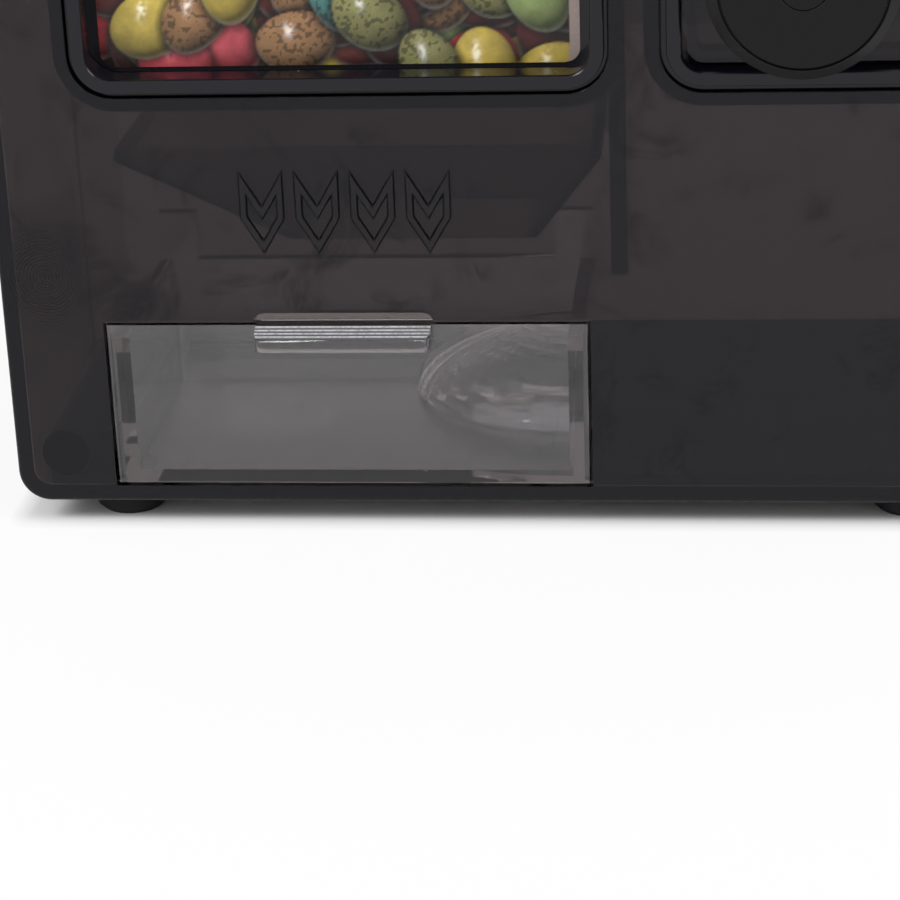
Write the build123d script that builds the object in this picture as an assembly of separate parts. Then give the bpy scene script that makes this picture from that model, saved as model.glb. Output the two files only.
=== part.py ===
from build123d import *
import math
import os

# Candy dispenser: a smoke-tinted box with a picture window, a turning knob and a
# pull-out drawer, under a clear hopper with a hinged lid. The knob turns a pocket
# rotor through a train of three gears, and a funnel drops the candy in the drawer.
# Millimetres. +Z is up, -Y is the front, and the origin is the centre of the
# footprint on the table.

# Housing
housing_width = 173.0
housing_depth = 93.0
housing_height = 130.0
housing_wall = 2.5
corner_radius = 5.5
front_edge_radius = 0.8
seam_depth = 56.0
foot_height = 4.1
foot_diameter = 12.7
foot_inset_x = 18.0
foot_inset_y = 9.5
joint_gap = 0.15

# Screws, one size for the housing and one for what is inside
housing_screw_diameter = 3.0
housing_screw_head = 6.0
boss_diameter = 8.5
boss_inset = 8.5
screw_bite = 9.0
screw_seat = 7.0
small_screw_diameter = 2.2
small_screw_head = 4.4
small_screw_head_height = 1.6
small_screw_bite = 5.0

# Framed openings in the front wall
frame_opening_bottom = 72.4
frame_opening_height = 41.2
frame_side_margin = 15.0
frame_gap = 8.2
recess_width = 45.4
frame_corner_radius = 7.2
window_groove = 0.8
window_rim = 2.35
recess_groove = 1.1
recess_rim = 2.5
rim_groove_depth = 1.2
rim_outer_radius = 0.35
rim_inner_radius = 0.7
rim_proud = 0.3
frame_recess_depth = 7.3
flange_reach = 2.6
flange_thickness = 1.5
card_margin_left = 1.05
card_margin_right = 1.8
card_margin_end = 0.5
card_thickness = 0.35
card_corner_radius = 2.5
backing_thickness = 2.0
panel_thickness = 2.0
panel_depth = 2.2
panel_gap = 0.85
panel_skirt = 1.5

# Drawer
drawer_side_margin = 17.9
drawer_window_offset = 4.2
drawer_bottom = 3.5
drawer_height = 29.2
drawer_length = 47.5
drawer_wall = 2.5
drawer_floor = 2.0
drawer_wall_height = 26.4
drawer_gap = 0.5
drawer_side_set_in = 1.0
stop_tab_width = 7.0
stop_tab_height = 9.0
grip_width = 30.4
grip_reach = 5.0
grip_thickness = 3.6
grip_slope = 1.5
grip_nose_radius = 1.1
grip_corner_radius = 2.5
grip_shift = -0.25
grip_ribs = 4
grip_rib_height = 0.45
grip_rib_pitch = 0.9
notch_corner_radius = 2.0
notch_rise = 2.1
mound_width = 30.8
mound_length = 24.7
mound_height = 14.0
drawer_bay_length = 49.6
runner_width = 3.0
runner_inset = 9.0
runner_gap = 0.1

# Base tray
tray_thickness = 2.0
tray_back_gap = 8.2
tray_back_strip = 10.0
rail_height = 10.0
rail_thickness = 2.0

# Shafts and gear train, all axes along Y
knob_axis_height = 93.0
gear_module = 1.25
driver_teeth = 24
idler_teeth = 26
gear_width = 7.0
gear_hub_diameter = 12.0
gear_hub_rise = 1.2
gear_backlash = 0.16
pressure_angle = math.radians(20)
shaft_diameter = 6.0
running_gap = 0.05
bushing_wall = 1.5
bushing_flange_diameter = 13.0
bushing_flange_thickness = 1.2
clip_thickness = 0.8
clip_diameter = 10.0
clip_groove_depth = 0.5
pin_head_thickness = 2.0
end_play = 0.3

# Gear plate
plate_depth = 50.0
plate_thickness = 2.5
plate_bottom = 72.0
plate_top = 118.0
plate_left_reach = 34.3
plate_right_reach = 21.2
plate_lug_width = 10.0
plate_lug_reach = 8.0
plate_lug_inset = 5.6
plate_lug_drop = 9.0

# Rotor and its housing
rotor_diameter = 40.0
rotor_clearance = 0.6
rotor_pockets = 4
pocket_radius = 8.5
pocket_offset = 17.5
shroud_wall = 2.0
shroud_front_depth = 11.9
shroud_front_wall = 2.5
shroud_mouth_width = 28.0
shroud_collar_top = 118.0
shroud_lug_width = 9.0
shroud_lug_reach = 3.0
shroud_lug_height = 17.0

# Funnel above the drawer
funnel_left_inset = 2.6
funnel_right_reach = 2.5
funnel_front = 6.0
funnel_top = 60.2
funnel_outlet_width = 42.0
funnel_outlet_inset = 8.7
funnel_outlet_front = 8.5
funnel_outlet_back = 34.0
funnel_bottom = 45.5
funnel_wall = 1.8
funnel_ear_width = 9.0
funnel_ear_inset = 5.4

# Divider between the picture side and the knob side
divider_offset = 3.7
divider_thickness = 2.8
divider_front = 10.0
divider_pin_gap = 0.6
divider_bottom = 37.2

# Knob
knob_diameter = 30.7
knob_reach = 14.0
knob_chamfer = 1.8
knob_groove_diameter = 26.2
knob_groove_width = 0.4
knob_cap_diameter = 8.0
knob_cap_thickness = 1.6
knob_stem_diameter = 14.0
knob_panel_gap = 0.6
knob_screw_diameter = 2.6
knob_screw_head = 5.4
knob_screw_head_height = 1.8
knob_screw_length = 12.0

# Hopper, collar, rim and lid
tank_side_margin = 6.5
tank_end_margin = 9.5
tank_height = 92.0
tank_wall = 2.5
tank_corner = 12.0
collar_reach = 3.0
collar_height = 8.0
collar_lap = 5.0
floor_drop = 14.0
floor_thickness = 2.0
spout_entry = 2.0
spout_width = 26.0
spout_front_depth = 18.0
spout_back_depth = 47.0
spout_wall = 1.6
rim_height = 7.0
rim_lap = 4.0
seal_thickness = 1.0
lid_thickness = 2.5
lid_skirt = 6.0
lid_overhang = 1.6
lid_tab_width = 34.0
lid_tab_reach = 6.0
hinge_pin_diameter = 3.0
hinge_barrel_diameter = 7.0
hinge_length = 96.0
hinge_knuckles = 5
hinge_knuckle_gap = 0.4

# Places worked out from the sizes above
front_y = (knob_reach - housing_depth) / 2
base = foot_height
deck = base + housing_height
axis_height = base + knob_axis_height
inner_corner_radius = max(corner_radius - housing_wall, 0.5)
window_bore = window_groove + window_rim
recess_bore = recess_groove + recess_rim
driver_radius = gear_module * driver_teeth / 2
idler_radius = gear_module * idler_teeth / 2
recess_right = housing_width / 2 - frame_side_margin
recess_left = recess_right - recess_width
window_left = -housing_width / 2 + frame_side_margin
window_right = recess_left - frame_gap
knob_axis_x = (recess_left + recess_right) / 2
idler_x = knob_axis_x - driver_radius - idler_radius
rotor_x = idler_x - driver_radius - idler_radius
drawer_left = -housing_width / 2 + drawer_side_margin
drawer_right = window_right - drawer_window_offset
grip_centre = (drawer_left + drawer_right) / 2 + grip_shift
plate_left = rotor_x - plate_left_reach
plate_right = knob_axis_x + plate_right_reach
funnel_left = drawer_left + funnel_left_inset
funnel_right = drawer_right + funnel_right_reach
funnel_outlet_right = drawer_right - funnel_outlet_inset
funnel_outlet_left = funnel_outlet_right - funnel_outlet_width
divider_left = drawer_right + divider_offset
divider_back = plate_depth - pin_head_thickness - divider_pin_gap
plate_back = plate_depth + plate_thickness
gear_front = plate_back + bushing_flange_thickness + gear_hub_rise + end_play
gear_back = gear_front + gear_width
hub_back = gear_back + gear_hub_rise
shaft_back = hub_back + end_play + 2 * clip_thickness
rotor_radius = rotor_diameter / 2
shroud_inner = rotor_radius + rotor_clearance
rotor_front = shroud_front_depth + shroud_front_wall + bushing_flange_thickness + end_play
shroud_outer = shroud_inner + shroud_wall
tank_width = housing_width - 2 * tank_side_margin
tank_depth = housing_depth - 2 * tank_end_margin
tank_front = tank_end_margin
rim_top = deck + tank_height
hinge_depth = tank_front + tank_depth + collar_reach + hinge_barrel_diameter / 2 - 1.0
hinge_height = rim_top + seal_thickness + lid_thickness - hinge_barrel_diameter / 2


def prism(profile, near, far):
    """A profile drawn in X and Z, pushed from one depth behind the front wall to another."""
    plane = Plane(origin=(0, front_y + far, 0), x_dir=(1, 0, 0), z_dir=(0, -1, 0))
    return extrude(plane * profile, amount=far - near)


def block(left, right, near, far, low, high):
    """A box between two X places, two depths and two heights."""
    profile = Pos((left + right) / 2, (low + high) / 2) * Rectangle(right - left, high - low)
    return prism(profile, near, far)


def rod(x, z, diameter, near, far):
    """A round bar along Y."""
    return prism(Pos(x, z) * Circle(diameter / 2), near, far)


def rounded(left, right, low, high, radius):
    """A rounded rectangle in X and Z."""
    place = Pos((left + right) / 2, (low + high) / 2)
    return place * RectangleRounded(right - left, high - low, radius)


def upright(width, depth, radius, low, high):
    """A rounded rectangle standing over the middle of the housing."""
    plane = Plane(origin=(0, front_y + housing_depth / 2, low))
    return extrude(plane * RectangleRounded(width, depth, radius), amount=high - low)


def bushing_bore():
    return shaft_diameter + 2 * (bushing_wall + joint_gap / 3)


# Housing shells

boss_places = [
    (side * (housing_width / 2 - boss_inset), height)
    for side in (-1, 1)
    for height in (base + boss_inset, deck - boss_inset)
]


def housing_shell(near, far):
    """The closed box outline between two depths, with its walls and no openings."""
    half = housing_width / 2
    shell = prism(rounded(-half, half, base, deck, corner_radius), near, far)
    end = shell.faces().sort_by(Axis.Y)[0 if near == 0 else -1]
    shell = fillet(end.edges(), front_edge_radius)
    start = near + housing_wall if near == 0 else near
    stop = far if near == 0 else far - housing_wall
    inside = rounded(
        -half + housing_wall,
        half - housing_wall,
        base + housing_wall,
        deck - housing_wall,
        inner_corner_radius,
    )
    return shell - prism(inside, start, stop)


def top_opening():
    """The hole in the top wall that the hopper's spout passes through."""
    gap = collar_reach
    return block(
        rotor_x - spout_width / 2 - gap,
        rotor_x + spout_width / 2 + gap,
        spout_front_depth - gap,
        spout_back_depth + gap,
        deck - housing_wall - 1,
        deck + 1,
    )


def notch_profile():
    """The finger notch above the drawer grip, with round upper corners."""
    half = grip_width / 2 + drawer_gap / 2
    top = base + drawer_bottom + drawer_height + notch_rise
    low = base + drawer_bottom + drawer_height / 2
    return rounded(grip_centre - half, grip_centre + half, low, top, notch_corner_radius)


def front_cover():
    cover = housing_shell(0, seam_depth)
    top = base + frame_opening_bottom + frame_opening_height
    for left, right in ((window_left, window_right), (recess_left, recess_right)):
        opening = rounded(left, right, base + frame_opening_bottom, top, frame_corner_radius)
        cover -= prism(opening, -1, housing_wall + 1)
    drawer_low = base + drawer_bottom
    cover -= block(
        drawer_left - drawer_gap,
        drawer_right + drawer_gap,
        -1,
        housing_wall + 1,
        drawer_low - drawer_gap,
        drawer_low + drawer_height + drawer_gap,
    )
    cover -= prism(notch_profile(), -1, housing_wall + 1)
    cover -= top_opening()
    for x in (drawer_left + runner_inset, drawer_right - runner_inset):
        cover += block(
            x - runner_width / 2,
            x + runner_width / 2,
            housing_wall / 2,
            drawer_bay_length,
            base + housing_wall / 2,
            drawer_low - runner_gap,
        )
    for x, height in boss_places:
        cover += rod(x, height, boss_diameter, housing_wall - 0.5, seam_depth)
        cover -= rod(x, height, housing_screw_diameter, seam_depth - screw_bite - 2, seam_depth + 1)
    for x, height in plate_screw_places:
        cover += block(
            x - plate_lug_width / 2,
            x + plate_lug_width / 2,
            plate_depth - plate_lug_reach,
            plate_depth,
            base + plate_top - plate_lug_drop,
            deck - housing_wall / 2,
        )
        cover -= rod(x, height, small_screw_diameter, plate_depth - small_screw_bite - 2, plate_depth + 1)
    return cover


def rear_cover():
    cover = housing_shell(seam_depth, housing_depth)
    for x, height in boss_places:
        cover += rod(x, height, boss_diameter, seam_depth, housing_depth - housing_wall + 0.5)
        cover -= rod(x, height, housing_screw_diameter + 0.4, seam_depth - 1, housing_depth + 1)
        cover -= rod(x, height, housing_screw_head + 0.6, seam_depth + screw_seat, housing_depth + 1)
    return cover


def housing_screws():
    screws = []
    head_back = seam_depth + screw_seat
    for x, height in boss_places:
        shank = rod(x, height, housing_screw_diameter - 0.1, seam_depth - screw_bite, head_back)
        head = rod(x, height, housing_screw_head, head_back, head_back + 2.2)
        head = chamfer(head.faces().sort_by(Axis.Y)[-1].edges(), 0.8)
        screws.append(shank + head)
    return Compound(children=screws)


def rubber_feet():
    feet = []
    for x in (foot_inset_x - housing_width / 2, housing_width / 2 - foot_inset_x):
        for depth in (foot_inset_y, housing_depth - foot_inset_y):
            foot = Pos(x, front_y + depth, 0) * Cylinder(
                foot_diameter / 2, foot_height, align=(Align.CENTER, Align.CENTER, Align.MIN)
            )
            feet.append(chamfer(foot.faces().sort_by(Axis.Z)[0].edges(), foot_height / 4))
    return Compound(children=feet)


# Base tray

def base_tray():
    """Black floor beside and behind the drawer, with the two rails that guide it."""
    edge = housing_width / 2 - housing_wall - inner_corner_radius
    low = base + housing_wall
    high = low + tray_thickness
    start = housing_wall + joint_gap
    stop = housing_depth - housing_wall - tray_back_gap
    left_rail = drawer_left - drawer_gap
    right_rail = drawer_right + drawer_gap
    tray = block(-edge, left_rail, start, stop, low, high)
    tray += block(right_rail, edge, start, stop, low, high)
    tray += block(-edge, edge, stop - tray_back_strip, stop, low, high)
    rail_top = low + rail_height
    tray += block(left_rail - rail_thickness, left_rail, start, drawer_bay_length, low, rail_top)
    tray += block(right_rail, right_rail + rail_thickness, start, drawer_bay_length, low, rail_top)
    for x, height in boss_places:
        tray -= rod(x, height, boss_diameter + 2 * joint_gap, 0, housing_depth)
    return tray


# Framed window and recess

def frame_slab(left, right, near, far, grow):
    """A rounded slab as large as a framed opening, grown or shrunk all round."""
    low = base + frame_opening_bottom
    high = low + frame_opening_height
    radius = max(frame_corner_radius + grow, 0.5)
    return prism(rounded(left - grow, right + grow, low - grow, high + grow, radius), near, far)


def frame(left, right, groove, bore):
    """A rim with a fine groove round it, its tube going back, and a flange behind the wall."""
    rim = frame_slab(left, right, -rim_proud, rim_groove_depth, -groove)
    rim -= frame_slab(left, right, -rim_proud - 1, rim_groove_depth + 1, -bore)
    rim = fillet(rim.faces().sort_by(Axis.Y)[0].outer_wire().edges(), rim_outer_radius)
    rim = fillet(rim.faces().sort_by(Axis.Y)[0].inner_wires()[0].edges(), rim_inner_radius)
    tube = frame_slab(left, right, rim_groove_depth, frame_recess_depth, -joint_gap)
    tube += frame_slab(left, right, housing_wall, housing_wall + flange_thickness, flange_reach)
    tube -= frame_slab(left, right, 0, frame_recess_depth + 1, -bore)
    return rim + tube


def window_bezel():
    return frame(window_left, window_right, window_groove, window_bore)


def card_backing():
    """Black plate that closes the back of the window frame."""
    back = frame_recess_depth + backing_thickness
    return frame_slab(window_left, window_right, frame_recess_depth, back, -joint_gap)


def picture_card():
    low = base + frame_opening_bottom + window_bore + card_margin_end
    high = base + frame_opening_bottom + frame_opening_height - window_bore - card_margin_end
    card = rounded(
        window_left + window_bore + card_margin_left,
        window_right - window_bore - card_margin_right,
        low,
        high,
        card_corner_radius,
    )
    return prism(card, frame_recess_depth - card_thickness, frame_recess_depth)


def knob_bezel():
    return frame(recess_left, recess_right, recess_groove, recess_bore)


def knob_panel():
    """A shallow cap that stands in the frame with a gap all round, on a flange behind the frame."""
    edge = -recess_bore - panel_gap
    back = frame_recess_depth + panel_thickness
    panel = frame_slab(recess_left, recess_right, panel_depth, back, edge)
    panel += frame_slab(recess_left, recess_right, frame_recess_depth, back, -joint_gap)
    panel -= frame_slab(recess_left, recess_right, panel_depth + panel_thickness, back + 1, edge - panel_skirt)
    return panel - rod(knob_axis_x, axis_height, bushing_bore(), 0, back + 1)


# Gear plate, divider and small screws

plate_screw_places = [
    (x, base + plate_top - plate_lug_drop / 2)
    for x in (
        plate_left + plate_lug_inset,
        divider_left + divider_thickness + plate_lug_inset,
        plate_right - plate_lug_inset,
    )
]
shroud_screw_places = [
    (rotor_x + side * (shroud_mouth_width / 2 + shroud_wall + shroud_lug_reach), axis_height + shroud_lug_height)
    for side in (-1, 1)
]
funnel_screw_places = [
    (plate_left + funnel_ear_inset, base + plate_bottom + 4),
    (funnel_right - funnel_ear_inset, base + plate_bottom + 4),
]


def gear_plate():
    """Carries both shafts and the idler pin, and closes the back of the rotor housing."""
    plate = block(plate_left, plate_right, plate_depth, plate_back, base + plate_bottom, base + plate_top)
    plate = fillet(plate.edges().filter_by(Axis.Y), 3.0)
    for x in (knob_axis_x, rotor_x):
        plate -= rod(x, axis_height, bushing_bore(), plate_depth - 1, plate_back + 1)
    plate -= rod(idler_x, axis_height, shaft_diameter + joint_gap, plate_depth - 1, plate_back + 1)
    for x, height in plate_screw_places + shroud_screw_places + funnel_screw_places:
        plate -= rod(x, height, small_screw_diameter + 0.4, plate_depth - 1, plate_back + 1)
    return plate


def divider():
    right = divider_left + divider_thickness
    wall = block(divider_left, right, divider_front, divider_back, base + divider_bottom, deck - housing_wall)
    low_corner = wall.edges().filter_by(Axis.X).sort_by(Axis.Z)[0:2]
    return fillet(low_corner, 4.0)


def small_screws():
    screws = []
    for x, height in plate_screw_places + shroud_screw_places + funnel_screw_places:
        shank = rod(x, height, small_screw_diameter - 0.1, plate_depth - small_screw_bite, plate_back)
        head = rod(x, height, small_screw_head, plate_back, plate_back + small_screw_head_height)
        head = chamfer(head.faces().sort_by(Axis.Y)[-1].edges(), 0.6)
        screws.append(shank + head)
    return Compound(children=screws)


# Rotor housing and funnel

def rotor_housing():
    """A drum open at the back, at the top under the hopper and at the bottom over the funnel."""
    drum = rod(rotor_x, axis_height, 2 * shroud_outer, shroud_front_depth, plate_depth)
    half = shroud_mouth_width / 2
    collar_half = half + shroud_wall
    collar_low = axis_height + rotor_radius * 0.6
    collar_front = spout_front_depth - spout_wall - shroud_wall
    drum += block(
        rotor_x - collar_half,
        rotor_x + collar_half,
        collar_front,
        plate_depth,
        collar_low,
        base + shroud_collar_top,
    )
    for x, height in shroud_screw_places:
        lug = rounded(
            min(x, rotor_x) - shroud_lug_width / 2,
            max(x, rotor_x) + shroud_lug_width / 2,
            height - shroud_lug_width / 2,
            height + shroud_lug_width / 2,
            shroud_lug_width / 2 - 0.1,
        )
        drum += prism(lug, plate_depth - small_screw_bite - 3, plate_depth)
    inside = shroud_front_depth + shroud_front_wall
    drum -= rod(rotor_x, axis_height, 2 * shroud_inner, inside, plate_depth + 1)
    drum -= block(
        rotor_x - half,
        rotor_x + half,
        collar_front + shroud_wall,
        plate_depth + 1,
        axis_height,
        base + shroud_collar_top + 1,
    )
    drum -= block(
        rotor_x - half,
        rotor_x + half,
        inside + 1,
        plate_depth + 1,
        axis_height - shroud_outer - 1,
        axis_height,
    )
    drum -= rod(rotor_x, axis_height, bushing_bore(), 0, inside + 1)
    for x, height in shroud_screw_places:
        drum -= rod(x, height, small_screw_diameter, plate_depth - small_screw_bite - 1, plate_depth + 1)
    return drum


def side_prism(points, left, right):
    """A profile drawn in depth and height, pushed from one X place to another."""
    plane = Plane(origin=(left, front_y, 0), x_dir=(0, 1, 0), z_dir=(1, 0, 0))
    return extrude(plane * make_face(Polyline(points, close=True)), amount=right - left)


def tapered(bottom, top, low, high):
    """A four-sided form between two level rectangles, each given as left, right, near, far."""
    across = [(bottom[0], low), (bottom[1], low), (top[1], high), (top[0], high)]
    along = [(bottom[2], low), (bottom[3], low), (top[3], high), (top[2], high)]
    near = min(bottom[2], top[2]) - 1
    far = max(bottom[3], top[3]) + 1
    left = min(bottom[0], top[0]) - 1
    right = max(bottom[1], top[1]) + 1
    return prism(make_face(Polyline(across, close=True)), near, far) & side_prism(along, left, right)


def funnel_form(wall):
    """The funnel's outer form, or its inner one when wall is taken off all round."""
    bottom = (
        funnel_outlet_left + wall,
        funnel_outlet_right - wall,
        funnel_outlet_front + wall,
        funnel_outlet_back - wall,
    )
    top = (funnel_left + wall, funnel_right - wall, funnel_front + wall, plate_depth - wall)
    return tapered(bottom, top, base + funnel_bottom, base + funnel_top)


def chute_funnel():
    """Steep on the knob side, shallow on the other, hung from the gear plate by two ears."""
    top = base + funnel_top
    funnel = funnel_form(0)
    funnel += block(funnel_left, funnel_right, funnel_front, plate_depth, top, top + funnel_wall)
    for x, height in funnel_screw_places:
        ear = rounded(
            x - funnel_ear_width / 2,
            x + funnel_ear_width / 2,
            top,
            height + funnel_ear_width / 2,
            2.0,
        )
        funnel += prism(ear, plate_depth - small_screw_bite - 2, plate_depth)
    funnel -= funnel_form(funnel_wall)
    funnel -= block(
        funnel_left + funnel_wall,
        funnel_right - funnel_wall,
        funnel_front + funnel_wall,
        plate_depth - funnel_wall,
        top,
        top + funnel_wall,
    )
    for x, height in funnel_screw_places:
        funnel -= rod(x, height, small_screw_diameter, plate_depth - small_screw_bite - 1, plate_depth + 1)
    return funnel


# Shafts, bushings, clips and gears

def bushing(x, near, wall_span, flange_in_front):
    """A flanged sleeve; the flange lies against one side of the wall that holds it."""
    outer = shaft_diameter + 2 * bushing_wall
    far = near + wall_span
    sleeve = rod(x, axis_height, outer, near, far)
    if flange_in_front:
        sleeve += rod(x, axis_height, bushing_flange_diameter, near - bushing_flange_thickness, near)
    else:
        sleeve += rod(x, axis_height, bushing_flange_diameter, far, far + bushing_flange_thickness)
    return sleeve - rod(x, axis_height, shaft_diameter + 2 * running_gap, near - 5, far + 5)


def shaft_bushings():
    return Compound(children=[
        bushing(knob_axis_x, panel_depth, panel_thickness, False),
        bushing(knob_axis_x, plate_depth, plate_thickness, False),
        bushing(rotor_x, plate_depth, plate_thickness, False),
        bushing(rotor_x, shroud_front_depth, shroud_front_wall, False),
    ])


def clip_groove(x):
    ring = rod(x, axis_height, shaft_diameter + 1, hub_back + end_play, hub_back + end_play + clip_thickness)
    return ring - rod(x, axis_height, shaft_diameter - 2 * clip_groove_depth, hub_back, shaft_back)


def shaft(x, near):
    bar = rod(x, axis_height, shaft_diameter, near, shaft_back)
    bar = chamfer(bar.faces().sort_by(Axis.Y)[-1].edges(), 0.4)
    return bar - clip_groove(x)


def clip(x):
    """A snap ring in the shaft's groove, open on one side."""
    start = hub_back + end_play + 0.05
    stop = start + clip_thickness - 0.1
    bore = shaft_diameter - 2 * clip_groove_depth + 0.1
    ring = rod(x, axis_height, clip_diameter, start, stop)
    ring -= rod(x, axis_height, bore, start - 1, stop + 1)
    slot = block(x - bore * 0.4, x + bore * 0.4, start - 1, stop + 1, axis_height - clip_diameter, axis_height)
    return ring - slot


def tooth(root_radius, pitch_radius, tip_radius, teeth):
    """One gear tooth on the +X side, with involute flanks down to the base circle."""
    base_radius = pitch_radius * math.cos(pressure_angle)
    pitch_roll = math.tan(pressure_angle) - pressure_angle
    half_at_pitch = math.pi / teeth / 2 - gear_backlash / 2 / pitch_radius

    def flank(radius):
        turn = math.acos(min(base_radius / radius, 1))
        half = half_at_pitch + pitch_roll - (math.tan(turn) - turn)
        return radius * math.cos(half), radius * math.sin(half)

    foot_x, foot_y = flank(base_radius)
    foot = (root_radius - 0.6, foot_y * (root_radius - 0.6) / foot_x)
    steps = [base_radius + (tip_radius - base_radius) * share for share in (0, 0.2, 0.45, 0.7, 1)]
    upper = [foot] + [flank(radius) for radius in steps]
    lower = [(x, -y) for x, y in reversed(upper)]
    return make_face(Polyline(upper + lower, close=True))


def gear(x, teeth, first_angle, bore_diameter):
    """A spur gear with a raised hub, and four light holes in its web."""
    pitch_radius = gear_module * teeth / 2
    root_radius = pitch_radius - 1.25 * gear_module
    tip_radius = pitch_radius + gear_module
    one = tooth(root_radius, pitch_radius, tip_radius, teeth)
    profile = Circle(root_radius)
    for index in range(teeth):
        profile += Rot(0, 0, first_angle + 360 * index / teeth) * one
    hole_place = (root_radius + gear_hub_diameter / 2) / 2
    for index in range(4):
        profile -= Rot(0, 0, 45 + 90 * index) * Pos(hole_place, 0) * Circle(root_radius / 6)
    wheel = prism(Pos(x, axis_height) * profile, gear_front, gear_back)
    wheel += rod(x, axis_height, gear_hub_diameter, gear_front - gear_hub_rise, hub_back)
    return wheel - rod(x, axis_height, bore_diameter, gear_front - 5, hub_back + 5)


def drive_gear():
    return gear(knob_axis_x, driver_teeth, 0, shaft_diameter + 0.04)


def idler_gear():
    half_tooth = 180 / idler_teeth
    return gear(idler_x, idler_teeth, half_tooth, shaft_diameter + 2 * running_gap)


def rotor_gear():
    return gear(rotor_x, driver_teeth, 0, shaft_diameter + 0.04)


def drive_shaft():
    """From the knob to the drive gear, with a screw hole in its front end."""
    front = knob_screw_seat
    bar = shaft(knob_axis_x, front)
    return bar - rod(knob_axis_x, axis_height, knob_screw_diameter, front - 1, front + knob_screw_length)


def rotor_shaft():
    return shaft(rotor_x, shroud_front_depth + 0.5)


def idler_pin():
    """Fixed pin with a head in front of the plate."""
    head = rod(idler_x, axis_height, clip_diameter, plate_depth - pin_head_thickness, plate_depth)
    return shaft(idler_x, plate_depth - 1) + head


def rotor():
    """A drum with round scoops along its length."""
    back = plate_depth - end_play
    drum = rod(rotor_x, axis_height, rotor_diameter, rotor_front, back)
    for index in range(rotor_pockets):
        angle = math.radians(90 + 360 * index / rotor_pockets)
        x = rotor_x + pocket_offset * math.cos(angle)
        height = axis_height + pocket_offset * math.sin(angle)
        drum -= rod(x, height, 2 * pocket_radius, rotor_front + 1.5, back - 1.5)
    return drum - rod(rotor_x, axis_height, shaft_diameter + 0.04, 0, back + 1)


# Knob

knob_front = -knob_reach
knob_back = panel_depth - knob_panel_gap
knob_screw_seat = knob_front + knob_cap_thickness + knob_screw_head_height + 2.5


def knob():
    x = knob_axis_x
    recess = -housing_wall
    body = rod(x, axis_height, knob_diameter, knob_front, knob_back)
    face = body.faces().sort_by(Axis.Y)[0]
    body = chamfer(face.edges(), knob_chamfer)
    ring = rod(x, axis_height, knob_groove_diameter + 2 * knob_groove_width, knob_front - 1, knob_front + 0.8)
    ring -= rod(x, axis_height, knob_groove_diameter, knob_front - 2, knob_front + 2)
    body -= ring
    hollow = rod(x, axis_height, knob_diameter - 5, recess, knob_back + 1)
    hollow -= rod(x, axis_height, knob_stem_diameter, recess, knob_back + 1)
    body -= hollow
    body -= rod(x, axis_height, knob_cap_diameter + 0.1, knob_front - 1, knob_front + knob_cap_thickness)
    seat = knob_front + knob_cap_thickness + knob_screw_head_height + 0.2
    body -= rod(x, axis_height, knob_screw_head + 0.3, knob_front - 1, seat)
    body -= rod(x, axis_height, knob_screw_diameter + 0.3, knob_front - 1, knob_back + 1)
    return body - rod(x, axis_height, shaft_diameter + 0.04, knob_screw_seat, knob_back + 1)


def knob_cap():
    cap = rod(knob_axis_x, axis_height, knob_cap_diameter, knob_front, knob_front + knob_cap_thickness)
    return chamfer(cap.faces().sort_by(Axis.Y)[0].edges(), 0.15)


def knob_screw():
    head_front = knob_front + knob_cap_thickness + 0.2
    head_back = head_front + knob_screw_head_height
    head = rod(knob_axis_x, axis_height, knob_screw_head, head_front, head_back)
    shank = rod(knob_axis_x, axis_height, knob_screw_diameter - 0.1, head_back, head_back + knob_screw_length)
    return head + shank


# Drawer

def drawer_mound():
    """A quarter dome in the back corner, under the steep side of the funnel."""
    corner_x = drawer_right - drawer_side_set_in - drawer_wall
    corner_depth = drawer_length - drawer_wall
    low = base + drawer_bottom + drawer_floor
    dome = scale(Sphere(1), by=(mound_width, mound_length, mound_height))
    dome = Pos(corner_x, front_y + corner_depth, low) * dome
    keep = block(
        corner_x - mound_width - 1,
        corner_x + drawer_wall / 2,
        corner_depth - mound_length - 1,
        corner_depth + drawer_wall / 2,
        low - drawer_floor / 2,
        low + mound_height + 1,
    )
    return dome & keep


def drawer_grip():
    """A finger lip whose ribbed top slopes down to a smooth round nose."""
    top = base + drawer_bottom + drawer_height
    low = top - grip_thickness
    left = grip_centre - grip_width / 2 + drawer_gap / 2
    right = grip_centre + grip_width / 2 - drawer_gap / 2
    fall = grip_slope / grip_reach
    profile = [(0.5, low), (-grip_reach, low), (-grip_reach, top - grip_slope)]
    for index in range(grip_ribs):
        depth = -grip_rib_pitch * (grip_ribs - index) - grip_rib_height
        profile.append((depth, top + fall * depth))
        profile.append((depth + grip_rib_pitch / 2, top + fall * depth + grip_rib_height))
    profile += [(-grip_rib_height, top), (0.5, top)]
    lip = side_prism(profile, left, right)
    nose = lip.edges().filter_by(Axis.X).sort_by(Axis.Y)[0:2]
    lip = fillet(nose, grip_nose_radius)
    middle = (left + right) / 2
    outline = Pos(middle, 0) * RectangleRounded(right - left, 2 * grip_reach, grip_corner_radius)
    plan = extrude(Plane(origin=(0, front_y, low - 1)) * outline, amount=grip_thickness + 3)
    return lip & plan


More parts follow.
